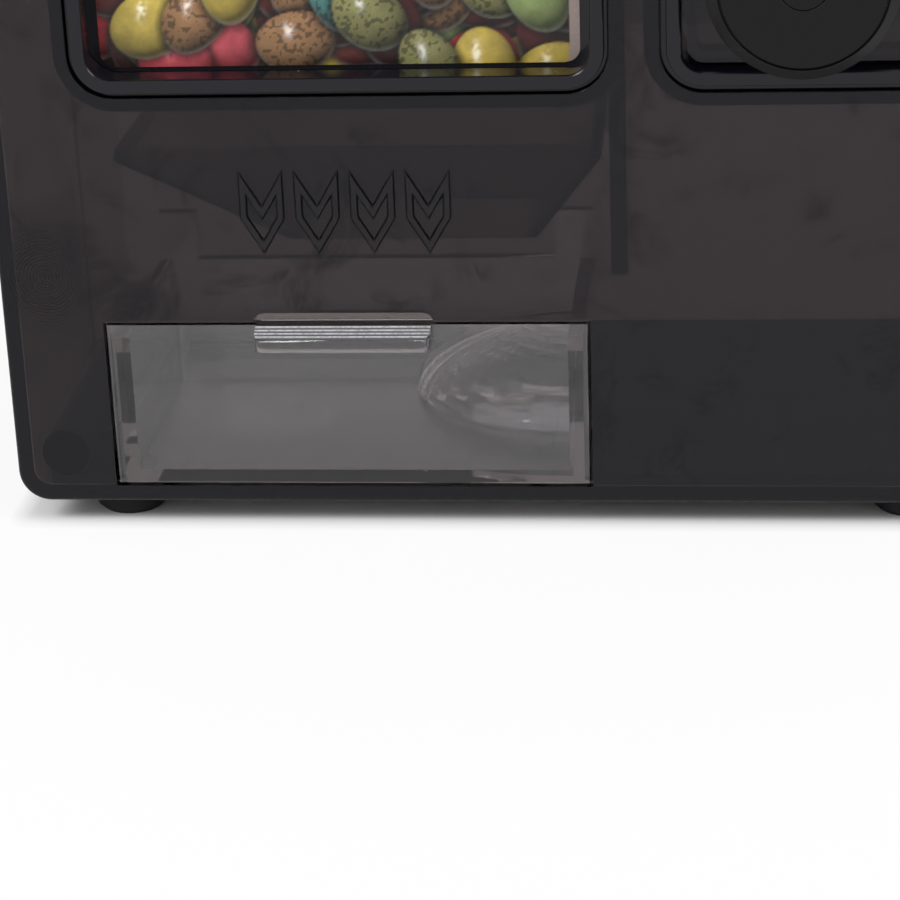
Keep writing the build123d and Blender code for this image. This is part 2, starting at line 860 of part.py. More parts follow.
def drawer():
    """Clear tray: a front panel, a narrower box behind it, and two stop tabs at the back."""
    low = base + drawer_bottom
    left = drawer_left + drawer_side_set_in
    right = drawer_right - drawer_side_set_in
    floor_top = low + drawer_floor
    box_top = low + drawer_wall_height
    tray = block(drawer_left, drawer_right, 0, drawer_wall, low, low + drawer_height)
    tray += block(left, right, drawer_wall / 2, drawer_length, low, box_top)
    inside_back = drawer_length - drawer_wall
    tray -= block(left + drawer_wall, right - drawer_wall, drawer_wall, inside_back, floor_top, box_top + 1)
    for x in (left, right - stop_tab_width):
        tray += block(x, x + stop_tab_width, inside_back, drawer_length, box_top - 1, box_top + stop_tab_height)
    return tray + drawer_mound() + drawer_grip()


# Hopper

tank_back = tank_front + tank_depth


def hopper_collar():
    """Black seat for the hopper on top of the housing."""
    grow = 2 * (collar_reach + joint_gap)
    collar = upright(tank_width + grow, tank_depth + grow, tank_corner + collar_reach, deck, deck + collar_height)
    collar = fillet(collar.faces().sort_by(Axis.Z)[-1].edges(), 1.2)
    gap = 2 * joint_gap
    collar -= upright(
        tank_width + gap,
        tank_depth + gap,
        tank_corner + joint_gap,
        deck + collar_height - collar_lap,
        deck + collar_height + 1,
    )
    lip = 2 * (tank_wall + 1)
    return collar - upright(tank_width - lip, tank_depth - lip, tank_corner - 3, deck - 1, deck + collar_height)


def hopper_tank():
    low = deck + collar_height - collar_lap
    tank = upright(tank_width, tank_depth, tank_corner, low, rim_top - rim_height + rim_lap)
    hole = 2 * tank_wall
    return tank - upright(tank_width - hole, tank_depth - hole, tank_corner - tank_wall, low - 1, rim_top)


def hopper_floor():
    """Thin sloping floor with a spout down into the rotor housing, and a skirt in the tank."""
    low = deck + collar_height - collar_lap
    half_x = tank_width / 2 - tank_wall - joint_gap
    near = tank_front + tank_wall + joint_gap
    far = tank_back - tank_wall - joint_gap
    spout = (
        rotor_x - spout_width / 2,
        rotor_x + spout_width / 2,
        spout_front_depth,
        spout_back_depth,
    )
    spout_low = base + shroud_collar_top - spout_entry
    edge = (-half_x, half_x, near, far)

    def inner(span, by):
        return span[0] + by, span[1] - by, span[2] + by, span[3] - by

    floor = tapered(inner(spout, -floor_thickness), edge, low, low + floor_drop)
    floor &= upright(2 * half_x, far - near, tank_corner - tank_wall - joint_gap, low, low + floor_drop)
    floor += block(*spout, spout_low, low + 1)
    floor -= tapered(inner(spout, spout_wall), inner(edge, floor_thickness), low + 1, low + floor_drop + 0.001)
    return floor - block(*inner(spout, spout_wall), spout_low - 1, low + 1.001)


def tank_rim():
    """Black frame round the top of the hopper, with the fixed hinge knuckles."""
    grow = 2 * (collar_reach + joint_gap)
    low = rim_top - rim_height
    rim = upright(tank_width + grow, tank_depth + grow, tank_corner + collar_reach, low, rim_top)
    gap = 2 * joint_gap
    rim -= upright(tank_width + gap, tank_depth + gap, tank_corner + joint_gap, low - 1, low + rim_lap)
    lip = 2 * (tank_wall + 1)
    rim -= upright(tank_width - lip, tank_depth - lip, tank_corner - 3, low, rim_top + 1)
    for index in range(0, hinge_knuckles, 2):
        rim += hinge_knuckle(index, False)
    for index in range(1, hinge_knuckles, 2):
        rim -= knuckle_relief(index)
    return rim - hinge_hole()


def knuckle_span(index):
    pitch = hinge_length / hinge_knuckles
    start = -hinge_length / 2 + pitch * index
    return start + hinge_knuckle_gap / 2, start + pitch - hinge_knuckle_gap / 2


def bar_x(left, right, diameter):
    """A round bar along the hinge axis."""
    plane = Plane(origin=(left, front_y + hinge_depth, hinge_height), z_dir=(1, 0, 0))
    return extrude(plane * Circle(diameter / 2), amount=right - left)


def hinge_knuckle(index, on_lid):
    left, right = knuckle_span(index)
    barrel = bar_x(left, right, hinge_barrel_diameter)
    if on_lid:
        top = rim_top + seal_thickness + lid_thickness
        web = block(left, right, tank_back - 1, hinge_depth, top - lid_thickness, top)
    else:
        web = block(left, right, tank_back + 1, hinge_depth, rim_top - rim_height, hinge_height)
    return barrel + web


def knuckle_relief(index):
    left, right = knuckle_span(index)
    gap = hinge_knuckle_gap
    return bar_x(left - gap, right + gap, hinge_barrel_diameter + 2 * gap)


def hinge_hole():
    half = hinge_length / 2 + 1
    return bar_x(-half, half, hinge_pin_diameter + 2 * running_gap)


def hinge_pin():
    return bar_x(-hinge_length / 2, hinge_length / 2, hinge_pin_diameter)


def lid_seal():
    """Soft ring under the lid, resting on the rim."""
    lip = 2 * (tank_wall + 1)
    outer = upright(tank_width, tank_depth, tank_corner, rim_top, rim_top + seal_thickness)
    return outer - upright(
        tank_width - lip, tank_depth - lip, tank_corner - 3, rim_top - 1, rim_top + seal_thickness + 1
    )


def lid():
    """Flat lid with a skirt on three sides, a finger tab and the moving hinge knuckles."""
    under = rim_top + seal_thickness
    top = under + lid_thickness
    grow = 2 * (collar_reach + lid_overhang)
    outer = tank_corner + collar_reach + lid_overhang
    plate = upright(tank_width + grow, tank_depth + grow, outer, under - lid_skirt, top)
    plate = fillet(plate.faces().sort_by(Axis.Z)[-1].edges(), 1.5)
    room = 2 * (collar_reach + joint_gap + 0.35)
    plate -= upright(tank_width + room, tank_depth + room, tank_corner + collar_reach, under - lid_skirt - 1, under)
    half = tank_width
    behind = hinge_depth + hinge_barrel_diameter
    plate -= block(-half, half, tank_back - tank_corner, behind, under - lid_skirt - 1, under)
    plate -= block(-half, half, tank_back + 1, behind, under - 1, top + 1)
    tab = block(
        -lid_tab_width / 2,
        lid_tab_width / 2,
        tank_front - collar_reach - lid_overhang - lid_tab_reach,
        tank_front - 1,
        under,
        top,
    )
    tab = fillet(tab.edges().filter_by(Axis.Z).sort_by(Axis.Y)[0:2], 4.0)
    plate += tab
    for index in range(1, hinge_knuckles, 2):
        plate += hinge_knuckle(index, True)
    for index in range(0, hinge_knuckles, 2):
        plate -= knuckle_relief(index)
    return plate - hinge_hole()


parts = {
    "front_cover": front_cover,
    "rear_cover": rear_cover,
    "base_tray": base_tray,
    "window_bezel": window_bezel,
    "picture_card": picture_card,
    "card_backing": card_backing,
    "knob_bezel": knob_bezel,
    "knob_panel": knob_panel,
    "divider": divider,
    "gear_plate": gear_plate,
    "rotor_housing": rotor_housing,
    "chute_funnel": chute_funnel,
    "shaft_bushings": shaft_bushings,
    "idler_pin": idler_pin,
    "idler_clip": lambda: clip(idler_x),
    "small_screws": small_screws,
    "housing_screws": housing_screws,
    "rubber_feet": rubber_feet,
    "hopper_collar": hopper_collar,
    "hopper_tank": hopper_tank,
    "hopper_floor": hopper_floor,
    "tank_rim": tank_rim,
    "hinge_pin": hinge_pin,
    "knob": knob,
    "knob_cap": knob_cap,
    "knob_screw": knob_screw,
    "drive_shaft": drive_shaft,
    "drive_gear": drive_gear,
    "drive_clip": lambda: clip(knob_axis_x),
    "idler_gear": idler_gear,
    "rotor": rotor,
    "rotor_shaft": rotor_shaft,
    "rotor_gear": rotor_gear,
    "rotor_clip": lambda: clip(rotor_x),
    "drawer": drawer,
    "lid": lid,
    "lid_seal": lid_seal,
}

os.makedirs("parts", exist_ok=True)
for node, make in parts.items():
    export_step(make(), f"parts/{node}.step")
    print("wrote", node)
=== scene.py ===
import math

import bmesh
import bpy
import numpy as np
from mathutils import Matrix, Vector


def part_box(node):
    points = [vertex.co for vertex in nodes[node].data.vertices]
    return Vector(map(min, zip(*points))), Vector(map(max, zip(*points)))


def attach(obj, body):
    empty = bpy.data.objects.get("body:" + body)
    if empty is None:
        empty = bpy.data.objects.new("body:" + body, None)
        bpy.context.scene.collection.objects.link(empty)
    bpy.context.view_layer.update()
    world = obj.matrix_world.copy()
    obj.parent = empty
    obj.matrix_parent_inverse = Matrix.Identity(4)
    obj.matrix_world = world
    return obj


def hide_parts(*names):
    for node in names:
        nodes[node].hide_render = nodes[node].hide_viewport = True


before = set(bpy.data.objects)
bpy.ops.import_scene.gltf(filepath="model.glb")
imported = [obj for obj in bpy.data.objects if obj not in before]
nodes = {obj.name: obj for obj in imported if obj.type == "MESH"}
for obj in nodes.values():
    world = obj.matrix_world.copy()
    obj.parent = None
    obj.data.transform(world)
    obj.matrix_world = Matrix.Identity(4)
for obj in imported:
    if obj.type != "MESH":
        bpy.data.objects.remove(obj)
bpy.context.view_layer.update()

# Countertop candy dispenser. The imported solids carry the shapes, in metres, with the
# front towards -Y. Each section below finishes one piece, or a group of like pieces,
# in the order in which the dispenser is put together.

# Studio and camera
# The dispenser stands on a white sweep, which shows as plain white, with daylight from
# all round and two softboxes. The camera looks down at the lower left part of the front.

CAMERA_PLACE = (0.03759, -0.48807, 0.19663)
CAMERA_PITCH = math.radians(22.05)
CAMERA_YAW = math.radians(6.1)
CAMERA_ROLL = math.radians(2.2)
PHOTO_PIXELS = 900
FOCAL_PIXELS = 2831
FOCAL_SHARE = FOCAL_PIXELS / PHOTO_PIXELS
SENSOR_MM = 36.0
WHITE = (1.0, 1.0, 1.0, 1.0)
SWEEP_SHADE = 0.86
SWEEP_SIZE = 6.0
SHADOW_SHARE = 0.16
DAYLIGHT = 0.62
STANDING_CENTRE = (0.0, 0.007, 0.0)
STANDING_HALF = (0.0855, 0.0455, 1.0)
CONTACT_FADE = 0.004
LIT_POINT = (0.0, 0.0, 0.1)
SOFTBOX_SIZE = 0.9
KEY_PLACE = (-1.3, -1.0, 1.5)
FILL_PLACE = (1.5, -0.6, 1.2)
KEY_WATTS = 26
FILL_WATTS = 14


def linear(code):
    """A hex colour as written on screen, as the linear values that the shaders take."""
    parts = [int(code[i:i + 2], 16) / 255 for i in (0, 2, 4)]
    return tuple(c / 12.92 if c <= 0.04045 else ((c + 0.055) / 1.055) ** 2.4 for c in parts) + (1.0,)


def add(tree, kind, inputs=None, **settings):
    """A shader or geometry node with its settings, and values or links for its inputs."""
    made = tree.nodes.new(kind)
    for name, value in settings.items():
        setattr(made, name, value)
    for key, value in (inputs or {}).items():
        if isinstance(value, bpy.types.NodeSocket):
            tree.links.new(value, made.inputs[key])
        else:
            made.inputs[key].default_value = value
    return made


def blank_material(name):
    """A material with an empty tree and its output node."""
    made = bpy.data.materials.new(name)
    made.use_nodes = True
    made.node_tree.nodes.clear()
    return made, made.node_tree, made.node_tree.nodes.new("ShaderNodeOutputMaterial")


def background_rays(tree):
    """The rays that see the background as plain white: those of the camera, of glass and of gloss."""
    seen = add(tree, "ShaderNodeLightPath")
    shown = add(tree, "ShaderNodeMath", {0: seen.outputs["Is Camera Ray"],
                                         1: seen.outputs["Is Transmission Ray"]}, operation="MAXIMUM")
    shown = add(tree, "ShaderNodeMath", {0: shown.outputs[0], 1: seen.outputs["Is Glossy Ray"]},
                operation="MAXIMUM")
    return shown.outputs[0]


camera_data = bpy.data.cameras.new("camera")
camera_data.sensor_width = SENSOR_MM
camera_data.lens = SENSOR_MM * FOCAL_SHARE
camera_data.clip_start = 0.01
camera = bpy.data.objects.new("camera", camera_data)
bpy.context.scene.collection.objects.link(camera)
camera.matrix_world = (
    Matrix.Translation(CAMERA_PLACE)
    @ Matrix.Rotation(CAMERA_YAW, 4, "Z")
    @ Matrix.Rotation(math.pi / 2 - CAMERA_PITCH, 4, "X")
    @ Matrix.Rotation(-CAMERA_ROLL, 4, "Z")
)
bpy.context.scene.camera = camera
bpy.context.scene.view_settings.view_transform = "Standard"

# The sweep shows as white to the camera and in gloss and glass, but keeps part of the
# object's shadow, and all of it under the object itself.
sweep_paper, tree, out = blank_material("white_seamless_paper")
paper = add(tree, "ShaderNodeBsdfDiffuse", {"Color": (SWEEP_SHADE,) * 3 + (1.0,)})
glow = add(tree, "ShaderNodeEmission", {"Color": WHITE, "Strength": 1.0})
place = add(tree, "ShaderNodeTexCoord")
across = add(tree, "ShaderNodeVectorMath", {0: place.outputs["Object"], 1: STANDING_CENTRE},
             operation="SUBTRACT")
across = add(tree, "ShaderNodeVectorMath", {0: across.outputs[0]}, operation="ABSOLUTE")
beyond = add(tree, "ShaderNodeVectorMath", {0: across.outputs[0], 1: STANDING_HALF}, operation="SUBTRACT")
beyond = add(tree, "ShaderNodeVectorMath", {0: beyond.outputs[0], 1: (0, 0, 0)}, operation="MAXIMUM")
reach = add(tree, "ShaderNodeVectorMath", {0: beyond.outputs[0]}, operation="LENGTH")
open_floor = add(tree, "ShaderNodeMapRange", {"Value": reach.outputs["Value"], "From Max": CONTACT_FADE,
                                              "To Max": 1 - SHADOW_SHARE})
plain = add(tree, "ShaderNodeMixShader", {0: open_floor.outputs["Result"], 1: paper.outputs[0],
                                          2: glow.outputs[0]})
mixed = add(tree, "ShaderNodeMixShader", {0: background_rays(tree), 1: paper.outputs[0], 2: plain.outputs[0]})
tree.links.new(mixed.outputs[0], out.inputs["Surface"])

bpy.ops.mesh.primitive_plane_add(size=SWEEP_SIZE, location=(0, 0, 0))
floor = bpy.context.active_object
floor.name = "studio_floor"
floor.data.materials.append(sweep_paper)

world = bpy.data.worlds.new("daylight")
world.use_nodes = True
bpy.context.scene.world = world
tree = world.node_tree
tree.nodes.clear()
soft = add(tree, "ShaderNodeBackground", {"Color": WHITE, "Strength": DAYLIGHT})
white = add(tree, "ShaderNodeBackground", {"Color": WHITE, "Strength": 1.0})
mixed = add(tree, "ShaderNodeMixShader", {0: background_rays(tree), 1: soft.outputs[0], 2: white.outputs[0]})
add(tree, "ShaderNodeOutputWorld", {"Surface": mixed.outputs[0]})


def softbox(name, place, target, size, watts):
    """A square area lamp that faces a point."""
    data = bpy.data.lights.new(name, "AREA")
    data.size = size
    data.energy = watts
    lamp = bpy.data.objects.new(name, data)
    bpy.context.scene.collection.objects.link(lamp)
    aim = (Vector(target) - Vector(place)).to_track_quat("-Z", "Y")
    lamp.matrix_world = Matrix.Translation(place) @ aim.to_matrix().to_4x4()


softbox("key_left", KEY_PLACE, LIT_POINT, SOFTBOX_SIZE, KEY_WATTS)
softbox("fill_right", FILL_PLACE, LIT_POINT, SOFTBOX_SIZE, FILL_WATTS)


# Feet and base tray
# Four stick-on rubber bumpers carry the housing. The tray is a satin black ABS moulding
# that drops into the front shell and guides the drawer between two rails.

RUBBER_SHADE = "0d0d0f"
RUBBER_BLOOM = "1e1e21"
SATIN_SHADE = "131214"
DUST_SHADE = "8d8a86"
DUST_SPACING = 0.00476
DUST_SPECK = (0.02, 0.05)
HAND_PATCH = 0.0222
BLOOM_PATCH = 0.003125
BLOOM_PORES = 0.0001
MOULD_EDGE = 0.0003


def dress(material, *names):
    """Gives CAD nodes their material, and leaves their meshes as they are."""
    for name in names:
        data = nodes[name].data
        data.materials.clear()
        data.materials.append(material)


def moulded_abs(name, shade, polish, worn, specular, grain, grain_height, dust):
    """Opaque moulded ABS with a moulded grain, a gloss that drifts where hands go, and specks of dust."""
    made, tree, out = blank_material(name)
    place = add(tree, "ShaderNodeTexCoord")
    hands = add(tree, "ShaderNodeTexNoise", {"Vector": place.outputs["Object"], "Scale": 1 / HAND_PATCH,
                                             "Detail": 5.0, "Roughness": 0.62})
    gloss = add(tree, "ShaderNodeMapRange", {"Value": hands.outputs["Fac"], "From Min": 0.38,
                                             "From Max": 0.72, "To Min": polish, "To Max": worn})
    eroded = add(tree, "ShaderNodeTexNoise", {"Vector": place.outputs["Object"], "Scale": 1 / grain,
                                              "Detail": 2.0})
    edge = add(tree, "ShaderNodeBevel", {"Radius": MOULD_EDGE}, samples=4)
    relief = add(tree, "ShaderNodeBump", {"Height": eroded.outputs["Fac"], "Strength": 0.5,
                                          "Distance": grain_height, "Normal": edge.outputs[0]})
    cells = add(tree, "ShaderNodeTexVoronoi", {"Vector": place.outputs["Object"], "Scale": 1 / DUST_SPACING})
    near = add(tree, "ShaderNodeMapRange", {"Value": cells.outputs["Distance"], "From Min": DUST_SPECK[0],
                                            "From Max": DUST_SPECK[1], "To Min": 1.0, "To Max": 0.0})
    few = add(tree, "ShaderNodeSeparateColor", {"Color": cells.outputs["Color"]})
    few = add(tree, "ShaderNodeMath", {0: few.outputs[0], 1: 1 - dust}, operation="GREATER_THAN")
    specks = add(tree, "ShaderNodeMath", {0: near.outputs["Result"], 1: few.outputs[0]}, operation="MULTIPLY")
    colour = add(tree, "ShaderNodeMix", {0: specks.outputs[0], 6: linear(shade), 7: linear(DUST_SHADE)},
                 data_type="RGBA")
    shell = add(tree, "ShaderNodeBsdfPrincipled", {
        "Base Color": colour.outputs[2],
        "Roughness": gloss.outputs["Result"],
        "IOR": 1.5,
        "Specular IOR Level": specular,
        "Normal": relief.outputs["Normal"],
    })
    tree.links.new(shell.outputs[0], out.inputs["Surface"])
    return made


# Moulded rubber: nearly black and dull, with a grey bloom.
rubber, tree, out = blank_material("moulded_bumper_rubber")
place = add(tree, "ShaderNodeTexCoord")
bloom = add(tree, "ShaderNodeTexNoise", {"Vector": place.outputs["Object"], "Scale": 1 / BLOOM_PATCH,
                                         "Detail": 4.0})
shade = add(tree, "ShaderNodeMix", {0: bloom.outputs["Fac"], 6: linear(RUBBER_SHADE),
                                    7: linear(RUBBER_BLOOM)}, data_type="RGBA")
pores = add(tree, "ShaderNodeBump", {"Height": bloom.outputs["Fac"], "Strength": 0.4,
                                     "Distance": BLOOM_PORES})
shell = add(tree, "ShaderNodeBsdfPrincipled", {"Base Color": shade.outputs[2], "Roughness": 0.62,
                                               "Specular IOR Level": 0.2, "Normal": pores.outputs["Normal"]})
tree.links.new(shell.outputs[0], out.inputs["Surface"])
dress(rubber, "rubber_feet")

# Spark-eroded ABS: the inner mouldings are dull black, with a fine even grain.
satin_abs = moulded_abs("spark_eroded_black_abs", SATIN_SHADE, polish=0.34, worn=0.5, specular=0.35,
                        grain=0.000385, grain_height=0.00003, dust=0.25)
dress(satin_abs, "base_tray")


# Front shell
# The front half of the housing is moulded in smoke-tinted SAN with polished faces: dark
# brownish grey, see-through, and marked by the fingers that have held it.

# SAN has an IOR of 1.57. The lower value and the tinted glint match the faint sheen of the wall.
SMOKE_IOR = 1.41
SMOKE_GLINT = "e4e4ec"
SMOKE_TINT = "7a7170"
SMOKE_ABSORBED = "643838"
SMOKE_DENSITY = 120.0
HAND_GRIME = "2c190e"
THUMB_CENTRE = (-0.0785, -0.0395, 0.0455)
THUMB_REACH = (0.0105, 0.03, 0.0135)
RIDGE_SPACING = 0.00056
GRIME_PATCH = 0.01613
GRIME_SEED = 3.7
GLOSS_PATCH = 0.01818


def tinted_depth(tree, out, absorbed, density):
    """Part of the tint sits in the depth of the plastic, so thick places and edges look darker."""
    depth = add(tree, "ShaderNodeVolumeAbsorption", {"Color": linear(absorbed), "Density": density})
    tree.links.new(depth.outputs[0], out.inputs["Volume"])


# Polished SAN that hands have touched: brownish skin marks dull what shows through, in
# blotches and one whorl of thumb ridges. A ring wave has 20 / (2 pi) rings for each unit.
handled_smoke, tree, out = blank_material("handled_smoke_tinted_san")
place = add(tree, "ShaderNodeTexCoord")
blot = add(tree, "ShaderNodeTexNoise", {"Vector": place.outputs["Object"], "W": GRIME_SEED,
                                        "Scale": 1 / GRIME_PATCH, "Detail": 7.0, "Roughness": 0.72,
                                        "Distortion": 1.1}, noise_dimensions="4D")
blots = add(tree, "ShaderNodeMapRange", {"Value": blot.outputs["Fac"], "From Min": 0.535, "From Max": 0.625,
                                         "To Max": 0.9})
from_thumb = add(tree, "ShaderNodeVectorMath", {0: place.outputs["Object"], 1: THUMB_CENTRE},
                 operation="SUBTRACT")
ridges = add(tree, "ShaderNodeTexWave", {"Vector": from_thumb.outputs[0],
                                         "Scale": math.pi / 10 / RIDGE_SPACING, "Distortion": 4.0,
                                         "Detail": 1.0, "Detail Scale": 0.22},
             wave_type="RINGS", rings_direction="SPHERICAL")
ridge = add(tree, "ShaderNodeMapRange", {"Value": ridges.outputs["Fac"], "From Min": 0.35, "From Max": 0.75,
                                         "To Min": 0.3})
pad = add(tree, "ShaderNodeVectorMath", {0: from_thumb.outputs[0], 1: THUMB_REACH}, operation="DIVIDE")
pad = add(tree, "ShaderNodeVectorMath", {0: pad.outputs[0]}, operation="LENGTH")
pad = add(tree, "ShaderNodeMapRange", {"Value": pad.outputs["Value"], "From Min": 0.5, "From Max": 1.0,
                                       "To Min": 1.0, "To Max": 0.0})
touch = add(tree, "ShaderNodeMath", {0: ridge.outputs["Result"], 1: pad.outputs["Result"]},
            operation="MULTIPLY")
grime = add(tree, "ShaderNodeMath", {0: blots.outputs["Result"], 1: touch.outputs[0]}, operation="MAXIMUM")
seen_through = add(tree, "ShaderNodeMix", {0: grime.outputs[0], 6: linear(SMOKE_TINT), 7: linear(HAND_GRIME)},
                   data_type="RGBA")
gloss = add(tree, "ShaderNodeMapRange", {"Value": grime.outputs[0], "To Min": 0.0, "To Max": 0.05})
edge = add(tree, "ShaderNodeBevel", {"Radius": MOULD_EDGE}, samples=4)
shell = add(tree, "ShaderNodeBsdfPrincipled", {
    "Base Color": seen_through.outputs[2],
    "Roughness": gloss.outputs["Result"],
    "IOR": SMOKE_IOR,
    "Specular Tint": linear(SMOKE_GLINT),
    "Transmission Weight": 1.0,
    "Normal": edge.outputs[0],
})
tree.links.new(shell.outputs[0], out.inputs["Surface"])
tinted_depth(tree, out, SMOKE_ABSORBED, SMOKE_DENSITY)
dress(handled_smoke, "front_cover")


def clean_smoke(name, tint, absorbed, density, polish, worn):
    """Smoke-tinted SAN out of reach of hands: only its gloss drifts a little."""
    made, tree, out = blank_material(name)
    place = add(tree, "ShaderNodeTexCoord")
    flow = add(tree, "ShaderNodeTexNoise", {"Vector": place.outputs["Object"], "Scale": 1 / GLOSS_PATCH,
                                            "Detail": 4.0})
    gloss = add(tree, "ShaderNodeMapRange", {"Value": flow.outputs["Fac"], "From Min": 0.45, "From Max": 0.7,
                                             "To Min": polish, "To Max": worn})
    shell = add(tree, "ShaderNodeBsdfPrincipled", {
        "Base Color": linear(tint),
        "Roughness": gloss.outputs["Result"],
        "IOR": SMOKE_IOR,
        "Specular Tint": linear(SMOKE_GLINT),
        "Transmission Weight": 1.0,
    })
    tree.links.new(shell.outputs[0], out.inputs["Surface"])
    tinted_depth(tree, out, absorbed, density)
    return made


# Polished SAN: deep smoke brown, with clean mirror faces.
polished_smoke = clean_smoke("polished_smoke_tinted_san", SMOKE_TINT, SMOKE_ABSORBED, SMOKE_DENSITY,
                             polish=0.0, worn=0.02)


# Pull mark
# A row of four raised outline chevrons is moulded on the front wall over the drawer grip.
# It is part of the shell's moulding, so its faces have the same smoke-tinted SAN; its steep
# flanks get a painted near-black colour instead, a painted dark reflection.

MARK_LEFT = -0.0442
MARK_RIGHT = -0.0086
MARK_LOW = 0.0494
MARK_HIGH = 0.0643
MARK_WIDTH = 0.0076
MARK_STROKE = 0.0014
MARK_RISE = 0.0004
MARK_FLANK = 0.00028
MARK_COUNT = 4
MARK_NOTCH = 0.58
MARK_SHOULDER = 0.42
MARK_SEAT = 0.00002
PAINTED_FLANK_DARK = "0b0a0b"
WALL_FRONT = -0.0395

# Steep flanks of the mark: painted near black, an opaque dark finish that stands in for the
# dark inside of the housing that they would mirror, as a painted reflection.
painted_dark_flanks = moulded_abs("painted_dark_mark_flanks", PAINTED_FLANK_DARK, polish=0.12, worn=0.2, specular=0.25,
                          grain=0.000333, grain_height=0.000005, dust=0.0)


def inset_outline(outline, inset):
    """A closed outline moved inwards by the same distance along each of its sides."""
    made = []
    for index, point in enumerate(outline):
        before, after = Vector(outline[index - 1]), Vector(outline[(index + 1) % len(outline)])
        one, two = (Vector(point) - before).normalized(), (after - Vector(point)).normalized()
        aside = Vector((one.y, -one.x)) + Vector((two.y, -two.x))
        made.append(Vector(point) + aside * (inset / (1 + one.dot(two))))
    return made


def pull_mark():
    """Hollow chevrons that point down, with sloping flanks, standing on the front wall."""
    half = MARK_WIDTH / 2
    tall = MARK_HIGH - MARK_LOW
    pitch = (MARK_RIGHT - MARK_LEFT - MARK_WIDTH) / (MARK_COUNT - 1)
    notch, shoulder = MARK_NOTCH * tall, MARK_SHOULDER * tall
    outline = [(-half, tall), (0, notch), (half, tall), (half, shoulder), (0, 0), (-half, shoulder)]
    rings = [(0.0, MARK_SEAT), (MARK_FLANK, MARK_RISE), (MARK_STROKE - MARK_FLANK, MARK_RISE),
             (MARK_STROKE, MARK_SEAT)]
    points, faces, slots = [], [], []
    for index in range(MARK_COUNT):
        middle = MARK_LEFT + half + pitch * index
        start = len(points)
        for inset, rise in rings:
            line = inset_outline(outline, inset)
            points += [(middle + p.x, WALL_FRONT - rise, MARK_LOW + p.y) for p in line]
        count = len(outline)
        for ring in range(len(rings)):
            near, far = start + ring * count, start + (ring + 1) % len(rings) * count
            for corner in range(count):
                after = (corner + 1) % count
                faces.append((near + corner, near + after, far + after, far + corner))
                # Slot 1, the flanks, takes the painted near-black reflection; slot 0 the smoke faces.
                slots.append(1 if rings[ring][1] != rings[(ring + 1) % len(rings)][1] else 0)
    data = bpy.data.meshes.new("pull_mark")
    data.from_pydata(points, [], faces)
    data.polygons.foreach_set("material_index", slots)
    form = bmesh.new()
    form.from_mesh(data)
    bmesh.ops.recalc_face_normals(form, faces=form.faces[:])
    form.to_mesh(data)
    form.free()
    piece = bpy.data.objects.new("pull_mark", data)
    bpy.context.scene.collection.objects.link(piece)
    return piece


mark = pull_mark()
for finish in (polished_smoke, painted_dark_flanks):
    mark.data.materials.append(finish)
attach(mark, "housing_group")


# Window frame and backing
# The frame of the picture window is polished black ABS. A fine groove runs round its rim,
# a flange lies behind the wall, and a plain black plate closes its back.

POLISHED_SHADE = "0b0b14"

# Polished ABS: piano black, sharp reflections, a few specks of dust.
polished_abs = moulded_abs("polished_black_abs", POLISHED_SHADE, polish=0.09, worn=0.17, specular=0.34,
                           grain=0.00238, grain_height=0.000004, dust=0.2)
dress(polished_abs, "window_bezel", "card_backing")


# Printed card
# A laminated card behind the window shows mixed sugar-shelled beans at life size, with a
# plain margin on its right, its white paper painted the grey-beige it shows in shade. It
# stands for the print in CAD node picture_card.

CARD_SPAN = (-0.0673, 0.01295)
CARD_HEIGHTS = (0.0801, 0.1141)
CARD_FRONT = -0.03255
CARD_BACK = -0.03221
CARD_CORNER = 0.0025
CARD_CELL = 0.00026
CARD_MARGIN = 0.0018
# Painted shade: white card paper, given the grey-beige it has in the shade behind the window.
CARD_PAPER_PAINTED_SHADE = "9a8983"
CARD_FIBRE = 0.00111
BEAN_SHADOW = "241512"
BEAN_SHADES = ("b2333a", "c4505a", "4f1a1a", "6a2b22", "8f6b4a",
               "c4ad52", "b9a24c", "93a468", "7c7a4e", "4d7f7b")
SPECKLED = (4, 8, 9)
SPECKLE_LEVEL = 0.62
SPECKLE_INK = (0.45, 1.1)
BEAN_HALF_LENGTHS = (0.0064, 0.0078)
BEAN_HALF_WIDTHS = (0.0049, 0.0057)
BEAN_COLUMNS = 11
BEAN_ROWS = 5
BEAN_LAYERS = 3
BEAN_SCATTER = (-0.3, 1.3)
BEAN_BEND = 20
BEAN_FRINGE = 0.22
BEAN_SEED = 23
INK_GRAIN = 0.0005
INK_DRIFT = 0.0016
MOTTLE_SPAN = (0.085, 0.04)
SHADOW_DEPTH = 0.3
LIGHT_FROM = (-0.3, 0.5, 0.75)
SHADED_SIDE = 0.14
LIT_SIDE = 1.05
PATCHY_INK = (0.82, 0.36)
GRAINY_INK = (0.9, 0.2)
GLINT_PLACE = (-0.2, 0.42)
GLINT_SPREAD = (0.012, 0.05)
GLINT_BREAKS = (2.2, -0.4)
GLINT_LIGHT = 0.8
RIM_WIDTH = 0.14
RIM_LIGHT = 0.1


def mottle(rng, x, z, patch):
    """Smooth random values over the card, with patches of about the given size."""
    low = rng.random((int(MOTTLE_SPAN[1] / patch) + 3, int(MOTTLE_SPAN[0] / patch) + 3))
    u, v = (x - CARD_SPAN[0]) / patch, (z - CARD_HEIGHTS[0]) / patch
    i, j = np.clip(u.astype(int), 0, low.shape[1] - 2), np.clip(v.astype(int), 0, low.shape[0] - 2)
    f, g = u - i, v - j
    return (low[j, i] * (1 - f) * (1 - g) + low[j, i + 1] * f * (1 - g)
            + low[j + 1, i] * (1 - f) * g + low[j + 1, i + 1] * f * g)


